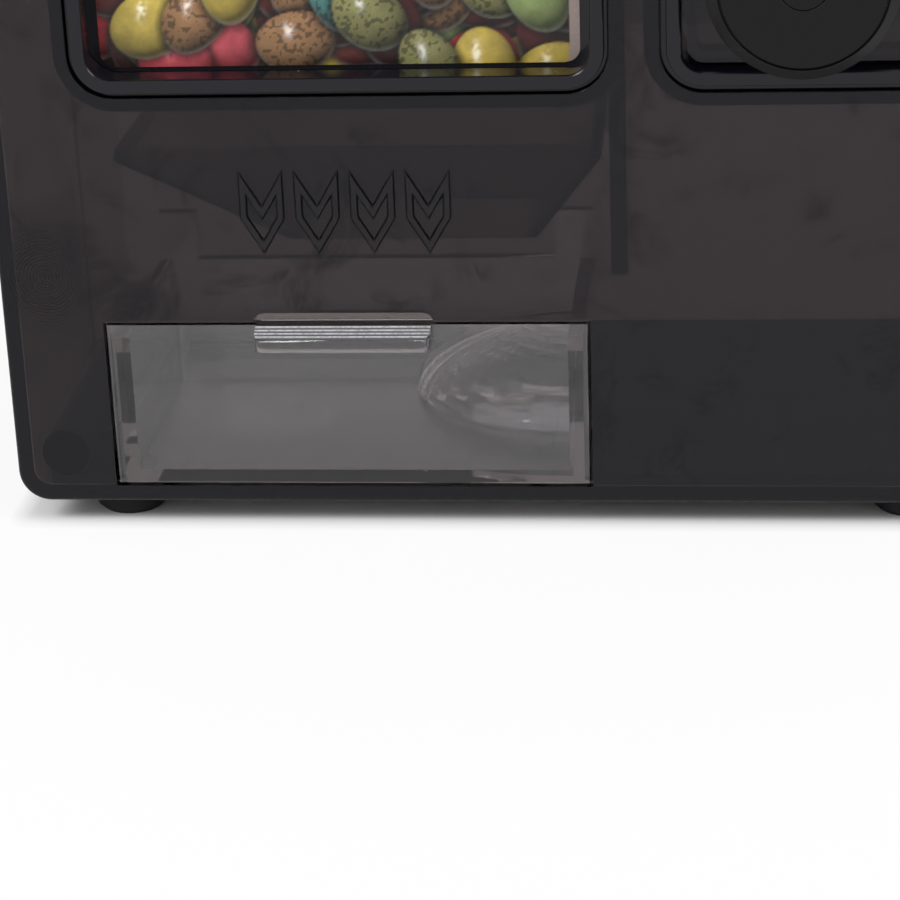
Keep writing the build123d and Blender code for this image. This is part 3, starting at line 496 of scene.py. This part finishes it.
def printed_beans(x, z, across):
    """Ink colours for points on the card, from a seeded heap of shaded beans."""
    rng = np.random.default_rng(BEAN_SEED)
    ink = np.tile(np.array(linear(BEAN_SHADOW)[:3]), (x.size, 1))
    fine = mottle(rng, x, z, INK_GRAIN)
    broad = mottle(rng, x, z, INK_DRIFT)
    wide, tall = across - CARD_SPAN[0], CARD_HEIGHTS[1] - CARD_HEIGHTS[0]
    for layer in range(BEAN_LAYERS):
        spots = [(c, r) for c in range(BEAN_COLUMNS) for r in range(BEAN_ROWS)]
        rng.shuffle(spots)
        for column, row in spots:
            cx = CARD_SPAN[0] + (column + rng.uniform(*BEAN_SCATTER)) / BEAN_COLUMNS * wide
            cz = CARD_HEIGHTS[0] + (row + rng.uniform(*BEAN_SCATTER)) / BEAN_ROWS * tall
            turn = rng.uniform(0, math.pi)
            long_half = rng.uniform(*BEAN_HALF_LENGTHS)
            wide_half = rng.uniform(*BEAN_HALF_WIDTHS)
            bend = rng.uniform(-BEAN_BEND, BEAN_BEND)
            kind = int(rng.integers(len(BEAN_SHADES)))
            along = (x - cx) * math.cos(turn) + (z - cz) * math.sin(turn)
            aside = (z - cz) * math.cos(turn) - (x - cx) * math.sin(turn) - bend * along ** 2
            off = np.hypot(along / long_half, aside / wide_half)
            fringe = off < 1 + BEAN_FRINGE
            fade = np.clip((off[fringe] - 1) / BEAN_FRINGE, 0, 1)
            ink[fringe] *= (SHADOW_DEPTH + (1 - SHADOW_DEPTH) * fade)[:, None]
            inside = off < 1
            a, b = along[inside] / long_half, aside[inside] / wide_half
            crown = np.sqrt(np.clip(1 - off[inside] ** 2, 0, 1))
            lean_x = a * math.cos(turn) - b * math.sin(turn)
            lean_z = a * math.sin(turn) + b * math.cos(turn)
            light = np.clip(LIGHT_FROM[0] * lean_x + LIGHT_FROM[1] * lean_z + LIGHT_FROM[2] * crown, 0, 1)
            colour = np.array(linear(BEAN_SHADES[kind])[:3]) * (SHADED_SIDE + LIT_SIDE * light[:, None])
            colour *= (PATCHY_INK[0] + PATCHY_INK[1] * broad[inside])[:, None]
            if kind in SPECKLED:
                colour *= np.where(fine[inside] > SPECKLE_LEVEL, *SPECKLE_INK)[:, None]
            glint = np.exp(-((lean_x - GLINT_PLACE[0]) ** 2 / GLINT_SPREAD[0]
                             + (lean_z - GLINT_PLACE[1]) ** 2 / GLINT_SPREAD[1]))
            glint *= np.clip(GLINT_BREAKS[0] * fine[inside] + GLINT_BREAKS[1], 0, 1)
            rim = np.clip((off[inside] - 1) / RIM_WIDTH + 1, 0, 1) * np.clip(-lean_z, 0, 1)
            colour += GLINT_LIGHT * glint[:, None] + RIM_LIGHT * rim[:, None]
            cover = np.clip((1 - off[inside]) * wide_half / CARD_CELL, 0, 1)[:, None]
            ink[inside] = ink[inside] * (1 - cover) + np.clip(colour, 0, 1) * cover
    ink = ink * (GRAINY_INK[0] + GRAINY_INK[1] * fine[:, None])
    # The margin takes the paper's painted shade.
    ink[x > across] = linear(CARD_PAPER_PAINTED_SHADE)[:3]
    return ink


def printed_card():
    """A thin card with rounded corners, and a fine mesh on its face that carries the print."""
    low, high = CARD_HEIGHTS
    left, right = CARD_SPAN
    levels = np.linspace(low, high, int((high - low) / CARD_CELL) + 1)
    steps = np.linspace(0, 1, int((right - left) / CARD_CELL) + 1)
    drop = np.clip(CARD_CORNER - np.minimum(levels - low, high - levels), 0, CARD_CORNER)
    inset = CARD_CORNER - np.sqrt(np.maximum(CARD_CORNER ** 2 - drop ** 2, 0))
    x = (left + inset)[:, None] + steps[None, :] * (right - left - 2 * inset)[:, None]
    z = np.repeat(levels[:, None], steps.size, axis=1)
    rows, columns = x.shape
    face = np.stack([x, np.full_like(x, CARD_FRONT), z], axis=-1).reshape(-1, 3)
    number = np.arange(rows * columns).reshape(rows, columns)
    quads = np.stack([number[:-1, :-1], number[:-1, 1:], number[1:, 1:], number[1:, :-1]], axis=-1)
    edge = np.concatenate([number[0, :], number[1:, -1], number[-1, -2::-1], number[-2:0:-1, 0]])
    rim = face[edge].copy()
    rim[:, 1] = CARD_BACK
    behind = rows * columns + np.arange(edge.size)
    after = np.roll(np.arange(edge.size), -1)
    sides = np.stack([edge, behind, behind[after], edge[after]], axis=-1)
    faces = quads.reshape(-1, 4).tolist() + sides.tolist() + [behind[::-1].tolist()]
    data = bpy.data.meshes.new("printed_card")
    data.from_pydata(np.concatenate([face, rim]).tolist(), [], faces)
    ink = np.ones((len(data.vertices), 4), dtype=np.float32)
    ink[:rows * columns, :3] = printed_beans(face[:, 0], face[:, 2], right - CARD_MARGIN)
    ink[rows * columns:, :3] = linear(CARD_PAPER_PAINTED_SHADE)[:3]
    layer = data.color_attributes.new("print_ink", "FLOAT_COLOR", "POINT")
    layer.data.foreach_set("color", ink.ravel())
    data.update()
    piece = bpy.data.objects.new("printed_card", data)
    bpy.context.scene.collection.objects.link(piece)
    return piece


# Laminated offset print: saturated inks under a gloss film, a little uneven in its sheen.
laminated_print, tree, out = blank_material("laminated_card_print")
inks = add(tree, "ShaderNodeAttribute", attribute_name="print_ink")
place = add(tree, "ShaderNodeTexCoord")
fibre = add(tree, "ShaderNodeTexNoise", {"Vector": place.outputs["Object"], "Scale": 1 / CARD_FIBRE,
                                         "Detail": 2.0})
sheen = add(tree, "ShaderNodeMapRange", {"Value": fibre.outputs["Fac"], "To Min": 0.2, "To Max": 0.34})
shell = add(tree, "ShaderNodeBsdfPrincipled", {
    "Base Color": inks.outputs["Color"],
    "Roughness": sheen.outputs["Result"],
    "IOR": 1.5,
    "Specular IOR Level": 0.35,
})
tree.links.new(shell.outputs[0], out.inputs["Surface"])

card = printed_card()
card.data.materials.append(laminated_print)
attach(card, "housing_group")
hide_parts("picture_card")


# Knob frame and panel
# The recess round the knob has the same polished black frame. The panel in it is a
# shallow cap of smoke-tinted SAN, with the front bushing of the drive shaft in its middle.

dress(polished_abs, "knob_bezel")

DEEP_TINT = "544e4e"

# Deep smoke SAN: the same plastic with more tint, so that the shaft behind it stays dark.
deep_smoke = clean_smoke("deep_smoke_tinted_san", DEEP_TINT, SMOKE_ABSORBED, SMOKE_DENSITY,
                         polish=0.0, worn=0.03)
dress(deep_smoke, "knob_panel")


# Divider, gear plate, rotor housing and funnel
# The inner walls are thinner smoke SAN mouldings, which show paler, with dark edges. The
# gear plate hangs on lugs of the front shell and carries the rotor housing and funnel.

THIN_TINT = "d9d2d2"
THIN_ABSORBED = "5d3131"
THIN_DENSITY = 290.0

# Thin pale SAN: a light smoke tint that turns dark where it is seen edge-on.
thin_smoke = clean_smoke("thin_pale_smoke_san", THIN_TINT, THIN_ABSORBED, THIN_DENSITY,
                         polish=0.0, worn=0.06)
dress(thin_smoke, "divider", "gear_plate", "rotor_housing", "chute_funnel")


# Shafts, pins, clips and screws
# The shafts, pins, clips and screws are zinc-plated steel. The bushings are nylon, with
# a flange each.

# The steel's grain is drawn along Y, as most of the shafts and screws lie.
STEEL_GRAIN = (0.000167, 0.00385, 0.000167)
STEEL_SHADES = ("a9abb0", "c9c9cc")
NYLON_SHADES = ("dedacc", "efece2")
NYLON_CLOUD = 0.00556
NYLON_REACH = (0.0012, 0.001, 0.0008)

# Zinc-plated steel: bright grey with a fine drawn grain.
zinc_steel, tree, out = blank_material("zinc_plated_steel")
place = add(tree, "ShaderNodeTexCoord")
drawn = add(tree, "ShaderNodeVectorMath", {0: place.outputs["Object"], 1: STEEL_GRAIN}, operation="DIVIDE")
grain = add(tree, "ShaderNodeTexNoise", {"Vector": drawn.outputs[0], "Scale": 1.0, "Detail": 3.0})
rough = add(tree, "ShaderNodeMapRange", {"Value": grain.outputs["Fac"], "To Min": 0.16, "To Max": 0.36})
tone = add(tree, "ShaderNodeMix", {0: grain.outputs["Fac"], 6: linear(STEEL_SHADES[0]),
                                   7: linear(STEEL_SHADES[1])}, data_type="RGBA")
shell = add(tree, "ShaderNodeBsdfPrincipled", {"Base Color": tone.outputs[2], "Metallic": 1.0,
                                               "Roughness": rough.outputs["Result"]})
tree.links.new(shell.outputs[0], out.inputs["Surface"])
dress(zinc_steel, "idler_pin", "idler_clip", "small_screws", "housing_screws", "hinge_pin", "knob_screw",
      "drive_shaft", "drive_clip", "rotor_shaft", "rotor_clip")

# Natural nylon: milky off-white, light sinks a little way in.
nylon, tree, out = blank_material("natural_nylon")
place = add(tree, "ShaderNodeTexCoord")
milk = add(tree, "ShaderNodeTexNoise", {"Vector": place.outputs["Object"], "Scale": 1 / NYLON_CLOUD,
                                        "Detail": 3.0})
tone = add(tree, "ShaderNodeMix", {0: milk.outputs["Fac"], 6: linear(NYLON_SHADES[0]),
                                   7: linear(NYLON_SHADES[1])}, data_type="RGBA")
rough = add(tree, "ShaderNodeMapRange", {"Value": milk.outputs["Fac"], "To Min": 0.34, "To Max": 0.5})
shell = add(tree, "ShaderNodeBsdfPrincipled", {
    "Base Color": tone.outputs[2],
    "Roughness": rough.outputs["Result"],
    "IOR": 1.53,
    "Subsurface Weight": 0.2,
    "Subsurface Radius": NYLON_REACH,
    "Subsurface Scale": 1.0,
})
tree.links.new(shell.outputs[0], out.inputs["Surface"])
dress(nylon, "shaft_bushings")


# Rotor and gears
# The metering drum is satin black ABS with four scoops. The three gears are natural nylon
# and run behind the gear plate.

dress(satin_abs, "rotor")
dress(nylon, "drive_gear", "idler_gear", "rotor_gear")


# Knob
# A turned-looking ABS moulding with a fine ring groove and a chamfered face, pushed on
# the shaft and held by a screw under its cap.

HANDLED_SHADE = "100f11"

# Handled satin ABS: charcoal black, soft highlights, polished a little by use.
handled_abs = moulded_abs("handled_satin_black_abs", HANDLED_SHADE, polish=0.22, worn=0.36, specular=0.18,
                          grain=0.000333, grain_height=0.00001, dust=0.35)
dress(handled_abs, "knob", "knob_cap")


# Drawer
# The drawer is a clear polystyrene moulding with a domed back corner and a ribbed lip for
# the fingers. Use has left hairline scratches in it and frosted its ribs.

CLEAR_IOR = 1.58
CLEAR_ABSORBED = "8c8c96"
CLEAR_DENSITY = 14.0
CLEAR_TINT = "fbfafc"
WIPED_PATCH = 0.01667
SCRATCH_REACH = (0.00833, 0.00833, 0.000385)
SCUFF_GRAIN = 0.000667
SCUFF_PITS = 0.00004
# Painted shade and painted highlight of the finger ribs: dark grey off the crests, white on them.
RIB_SHADE_AND_CREST_HIGHLIGHT = ("514d55", "fbfaff")
DRAWER_SET_IN = 0.001
DRAWER_WALL = 0.0025
DOME_WIDTH = 0.0308
DOME_LENGTH = 0.0247
DOME_HEIGHT = 0.016
DOME_SKIN = 0.0016
EASED_EDGE = 0.0003
RIBS_FRONT = -0.0436
RIBS_BACK = -0.0398
RIB_PITCH = 0.0009
RIB_LEAN = 0.2
TOUCHING = 0.00001
FLAT_ANGLE = 0.001


def clear_moulding(name, polish, worn, scratch_height):
    """Clear plastic with a gloss that drifts and fine scratches in its face."""
    made, tree, out = blank_material(name)
    place = add(tree, "ShaderNodeTexCoord")
    hands = add(tree, "ShaderNodeTexNoise", {"Vector": place.outputs["Object"], "Scale": 1 / WIPED_PATCH,
                                             "Detail": 6.0, "Roughness": 0.7})
    gloss = add(tree, "ShaderNodeMapRange", {"Value": hands.outputs["Fac"], "From Min": 0.4,
                                             "From Max": 0.75, "To Min": polish, "To Max": worn})
    drawn = add(tree, "ShaderNodeVectorMath", {0: place.outputs["Object"], 1: SCRATCH_REACH},
                operation="DIVIDE")
    lines = add(tree, "ShaderNodeTexNoise", {"Vector": drawn.outputs[0], "Scale": 1.0, "Detail": 2.0})
    hair = add(tree, "ShaderNodeMapRange", {"Value": lines.outputs["Fac"], "From Min": 0.62,
                                            "From Max": 0.75})
    relief = add(tree, "ShaderNodeBump", {"Height": hair.outputs["Result"], "Strength": 0.4,
                                          "Distance": scratch_height}, invert=True)
    shell = add(tree, "ShaderNodeBsdfPrincipled", {
        "Base Color": linear(CLEAR_TINT),
        "Roughness": gloss.outputs["Result"],
        "IOR": CLEAR_IOR,
        "Transmission Weight": 1.0,
        "Normal": relief.outputs["Normal"],
    })
    tree.links.new(shell.outputs[0], out.inputs["Surface"])
    tinted_depth(tree, out, CLEAR_ABSORBED, CLEAR_DENSITY)
    return made


# Crystal polystyrene: colourless, bright edges, faint scratches from use.
crystal = clear_moulding("crystal_polystyrene", polish=0.015, worn=0.07, scratch_height=0.00001)

# Scuffed ribs: the finger ribs are frosted and scuffed. Their crests are painted white as a
# highlight, broken up by the scuffs, and the rest of each rib is painted dark grey as shade.
scuffed_ribs_painted_light, tree, out = blank_material("scuffed_frosted_ribs_painted_light")
place = add(tree, "ShaderNodeTexCoord")
scuff = add(tree, "ShaderNodeTexNoise", {"Vector": place.outputs["Object"], "Scale": 1 / SCUFF_GRAIN,
                                         "Detail": 3.0, "Roughness": 0.7})
depth = add(tree, "ShaderNodeSeparateXYZ", {0: place.outputs["Object"]})
depth = add(tree, "ShaderNodeMath", {0: depth.outputs["Y"], 1: WALL_FRONT}, operation="SUBTRACT")
depth = add(tree, "ShaderNodeMath", {0: depth.outputs[0], 1: RIB_PITCH}, operation="DIVIDE")
valley = add(tree, "ShaderNodeMath", {0: depth.outputs[0], 1: 0.5}, operation="PINGPONG")
crest_highlight = add(tree, "ShaderNodeMapRange", {"Value": valley.outputs[0], "From Min": 0.14, "From Max": 0.32,
                                         "To Min": 1.0, "To Max": 0.0})
# Painted highlight on the crests, broken by the scuff noise; elsewhere the ribs take the painted dark grey
# shade.
white = add(tree, "ShaderNodeMapRange", {"Value": scuff.outputs["Fac"], "From Min": 0.3, "From Max": 0.55,
                                         "To Min": 0.35})
white = add(tree, "ShaderNodeMath", {0: white.outputs["Result"], 1: crest_highlight.outputs["Result"]},
            operation="MULTIPLY")
tone = add(tree, "ShaderNodeMix", {0: white.outputs[0], 6: linear(RIB_SHADE_AND_CREST_HIGHLIGHT[0]),
                                   7: linear(RIB_SHADE_AND_CREST_HIGHLIGHT[1])}, data_type="RGBA")
frost = add(tree, "ShaderNodeMapRange", {"Value": scuff.outputs["Fac"], "To Min": 0.25, "To Max": 0.55})
pits = add(tree, "ShaderNodeBump", {"Height": scuff.outputs["Fac"], "Strength": 0.6,
                                     "Distance": SCUFF_PITS})
shell = add(tree, "ShaderNodeBsdfPrincipled", {
    "Base Color": tone.outputs[2],
    "Roughness": frost.outputs["Result"],
    "IOR": CLEAR_IOR,
    "Transmission Weight": 0.55,
    "Normal": pits.outputs["Normal"],
})
tree.links.new(shell.outputs[0], out.inputs["Surface"])


def dome_core(low, high):
    """The space under the corner dome: a quarter of an ellipsoid that opens downwards."""
    corner = Vector((high.x - DRAWER_SET_IN - DRAWER_WALL, high.y - DRAWER_WALL, low.z))
    reach = [size - DOME_SKIN for size in (DOME_WIDTH, DOME_LENGTH, DOME_HEIGHT)]
    form = bmesh.new()
    bmesh.ops.create_uvsphere(form, u_segments=64, v_segments=32, radius=1.0,
                              matrix=Matrix.Translation(corner) @ Matrix.Diagonal((*reach, 1.0)))
    below = corner - Vector((0, 0, DOME_SKIN))
    for point, outer in ((corner, (1, 0, 0)), (corner, (0, 1, 0)), (below, (0, 0, -1))):
        cut = bmesh.ops.bisect_plane(form, geom=form.verts[:] + form.edges[:] + form.faces[:],
                                     plane_co=point, plane_no=outer, clear_outer=True)
        rim = [item for item in cut["geom_cut"] if isinstance(item, bmesh.types.BMEdge)]
        bmesh.ops.holes_fill(form, edges=rim)
    bmesh.ops.recalc_face_normals(form, faces=form.faces[:])
    data = bpy.data.meshes.new("dome_core")
    form.to_mesh(data)
    form.free()
    core = bpy.data.objects.new("dome_core", data)
    bpy.context.scene.collection.objects.link(core)
    return core


def lies_on(edge, axis, level):
    """Whether both ends of an edge have the same place along one axis."""
    return all(abs(vertex.co[axis] - level) < TOUCHING for vertex in edge.verts)


def clear_drawer():
    """The drawer, its front edges eased, its corner dome cored from below and its ribs frosted."""
    low, high = (Vector(corner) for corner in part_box("drawer"))
    form = bmesh.new()
    form.from_mesh(nodes["drawer"].data)
    bmesh.ops.remove_doubles(form, verts=form.verts[:], dist=TOUCHING / 10)
    bmesh.ops.dissolve_limit(form, angle_limit=FLAT_ANGLE, verts=form.verts[:], edges=form.edges[:])
    sides = ((0, low.x), (0, high.x), (2, low.z))
    eased = [edge for edge in form.edges
             if lies_on(edge, 1, WALL_FRONT) and any(lies_on(edge, *side) for side in sides)]
    bmesh.ops.bevel(form, geom=eased, offset=EASED_EDGE, segments=2, affect="EDGES", profile=0.5)
    data = bpy.data.meshes.new("clear_drawer")
    form.to_mesh(data)
    form.free()
    piece = bpy.data.objects.new("clear_drawer", data)
    bpy.context.scene.collection.objects.link(piece)
    core = dome_core(low, high)
    hollow = piece.modifiers.new("hollow", "BOOLEAN")
    hollow.operation = "DIFFERENCE"
    hollow.solver = "EXACT"
    hollow.object = core
    made = bpy.data.meshes.new_from_object(piece.evaluated_get(bpy.context.evaluated_depsgraph_get()))
    piece.modifiers.clear()
    piece.data = made
    bpy.data.objects.remove(core)
    for finish in (crystal, scuffed_ribs_painted_light):
        made.materials.append(finish)
    for face in made.polygons:
        ribbed = RIBS_FRONT < face.center.y < RIBS_BACK and face.normal.z > RIB_LEAN
        face.material_index = 1 if ribbed else 0
    return piece


drawer = clear_drawer()
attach(drawer, "drawer_group")
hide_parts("drawer")


# Rear shell and its screws
# The rear half closes the housing, in the same smoke-tinted SAN. Four screws pull it to
# the front shell from the bottoms of four deep bores.

dress(polished_smoke, "rear_cover")

SCREW_SHANK = 0.0029
SCREW_HEAD_HEIGHT = 0.0022
SCREW_HEAD_TOP = 0.73
RECESS_LENGTH = 0.0034
RECESS_WIDTH = 0.0009
RECESS_DEPTH = 0.0011


def screw_tree():
    """Geometry nodes that drive a cross-recessed pan head screw at each point, its head towards +Y."""
    tree = bpy.data.node_groups.new("cross_recessed_screws", "GeometryNodeTree")
    tree.interface.new_socket("Seats", in_out="INPUT", socket_type="NodeSocketGeometry")
    for name in ("Head Diameter", "Head Height", "Shank Diameter", "Shank Length",
                 "Recess Length", "Recess Width", "Recess Depth"):
        tree.interface.new_socket(name, in_out="INPUT", socket_type="NodeSocketFloat")
    tree.interface.new_socket("Metal", in_out="INPUT", socket_type="NodeSocketMaterial")
    tree.interface.new_socket("Screws", in_out="OUTPUT", socket_type="NodeSocketGeometry")
    given = tree.nodes.new("NodeGroupInput").outputs
    head_radius = add(tree, "ShaderNodeMath", {0: given["Head Diameter"], 1: 0.5}, operation="MULTIPLY")
    top_radius = add(tree, "ShaderNodeMath", {0: head_radius.outputs[0], 1: SCREW_HEAD_TOP},
                     operation="MULTIPLY")
    shank_radius = add(tree, "ShaderNodeMath", {0: given["Shank Diameter"], 1: 0.5}, operation="MULTIPLY")
    head = add(tree, "GeometryNodeMeshCone", {"Vertices": 40, "Depth": given["Head Height"],
                                              "Radius Top": top_radius.outputs[0],
                                              "Radius Bottom": head_radius.outputs[0]})
    across = add(tree, "ShaderNodeCombineXYZ", {0: given["Recess Length"], 1: given["Recess Width"],
                                                2: given["Recess Depth"]})
    along = add(tree, "ShaderNodeCombineXYZ", {0: given["Recess Width"], 1: given["Recess Length"],
                                               2: given["Recess Depth"]})
    bars = [add(tree, "GeometryNodeMeshCube", {"Size": size.outputs[0]}) for size in (across, along)]
    rise = add(tree, "ShaderNodeCombineXYZ", {2: given["Head Height"]})
    cross = add(tree, "GeometryNodeMeshBoolean", operation="UNION", solver="EXACT")
    for bar in bars:
        placed = add(tree, "GeometryNodeTransform", {"Geometry": bar.outputs["Mesh"],
                                                     "Translation": rise.outputs[0]})
        tree.links.new(placed.outputs[0], cross.inputs["Mesh 2"])
    recessed = add(tree, "GeometryNodeMeshBoolean", {"Mesh 1": head.outputs["Mesh"],
                                                     "Mesh 2": cross.outputs["Mesh"]},
                   operation="DIFFERENCE", solver="EXACT")
    shank = add(tree, "GeometryNodeMeshCylinder", {"Vertices": 24, "Radius": shank_radius.outputs[0],
                                                   "Depth": given["Shank Length"]})
    half = add(tree, "ShaderNodeMath", {0: given["Shank Length"], 1: -0.5}, operation="MULTIPLY")
    fall = add(tree, "ShaderNodeCombineXYZ", {2: half.outputs[0]})
    shank = add(tree, "GeometryNodeTransform", {"Geometry": shank.outputs["Mesh"],
                                                "Translation": fall.outputs[0]})
    screw = add(tree, "GeometryNodeJoinGeometry", {"Geometry": recessed.outputs["Mesh"]})
    tree.links.new(shank.outputs[0], screw.inputs[0])
    driven = add(tree, "GeometryNodeInstanceOnPoints", {"Points": given["Seats"],
                                                        "Instance": screw.outputs[0],
                                                        "Rotation": (-math.pi / 2, 0.0, 0.0)})
    solid = add(tree, "GeometryNodeRealizeInstances", {"Geometry": driven.outputs[0]})
    finish = add(tree, "GeometryNodeSetMaterial", {"Geometry": solid.outputs[0], "Material": given["Metal"]})
    add(tree, "NodeGroupOutput", {0: finish.outputs[0]})
    return tree


def cross_recessed_screws():
    """The four housing screws, driven from behind, each where its CAD solid stands."""
    low, high = (np.array(corner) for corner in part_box("housing_screws"))
    points = np.array([vertex.co[:] for vertex in nodes["housing_screws"].data.vertices])
    middle = (low + high) / 2
    seats, head = [], 0.0
    for right in (False, True):
        for upper in (False, True):
            mine = points[((points[:, 0] > middle[0]) == right) & ((points[:, 2] > middle[2]) == upper)]
            centre = (mine.min(axis=0) + mine.max(axis=0)) / 2
            seats.append((centre[0], high[1] - SCREW_HEAD_HEIGHT, centre[2]))
            head = mine[:, 0].max() - mine[:, 0].min()
    data = bpy.data.meshes.new("driven_housing_screws")
    data.from_pydata(seats, [], [])
    piece = bpy.data.objects.new("driven_housing_screws", data)
    bpy.context.scene.collection.objects.link(piece)
    driven = piece.modifiers.new("screws", "NODES")
    driven.node_group = screw_tree()
    sizes = {
        "Head Diameter": float(head),
        "Head Height": SCREW_HEAD_HEIGHT,
        "Shank Diameter": SCREW_SHANK,
        "Shank Length": float(high[1] - low[1]) - SCREW_HEAD_HEIGHT,
        "Recess Length": RECESS_LENGTH,
        "Recess Width": RECESS_WIDTH,
        "Recess Depth": 2 * RECESS_DEPTH,
        "Metal": zinc_steel,
    }
    for socket in driven.node_group.interface.items_tree:
        if socket.name in sizes:
            driven[socket.identifier] = sizes[socket.name]
    made = bpy.data.meshes.new_from_object(piece.evaluated_get(bpy.context.evaluated_depsgraph_get()))
    piece.modifiers.clear()
    piece.data = made
    return piece


screws = cross_recessed_screws()
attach(screws, "housing_group")
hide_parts("housing_screws")


# Hopper
# A black collar on the housing seats the clear store. A sloping black floor with a spout
# stands inside it, and a black rim caps it and carries the hinge.

dress(polished_abs, "hopper_collar", "tank_rim")
dress(satin_abs, "hopper_floor")
dress(crystal, "hopper_tank")


# Lid
# The lid is a black ABS plate with a finger tab, hinged on a steel pin. A soft silicone
# ring under it keeps the candy dry.

dress(polished_abs, "lid")

SILICONE_SHADES = ("cfcfcc", "e2e2e0")
SILICONE_CLOUD = 0.0025
SILICONE_REACH = 0.002

# Moulded silicone: milky, dull and soft.
silicone, tree, out = blank_material("milky_silicone")
place = add(tree, "ShaderNodeTexCoord")
cloud = add(tree, "ShaderNodeTexNoise", {"Vector": place.outputs["Object"], "Scale": 1 / SILICONE_CLOUD,
                                         "Detail": 3.0})
rough = add(tree, "ShaderNodeMapRange", {"Value": cloud.outputs["Fac"], "To Min": 0.45, "To Max": 0.65})
tone = add(tree, "ShaderNodeMix", {0: cloud.outputs["Fac"], 6: linear(SILICONE_SHADES[0]),
                                   7: linear(SILICONE_SHADES[1])}, data_type="RGBA")
shell = add(tree, "ShaderNodeBsdfPrincipled", {
    "Base Color": tone.outputs[2],
    "Roughness": rough.outputs["Result"],
    "IOR": 1.41,
    "Subsurface Weight": 0.35,
    "Subsurface Radius": (SILICONE_REACH,) * 3,
    "Subsurface Scale": 1.0,
})
tree.links.new(shell.outputs[0], out.inputs["Surface"])
dress(silicone, "lid_seal")
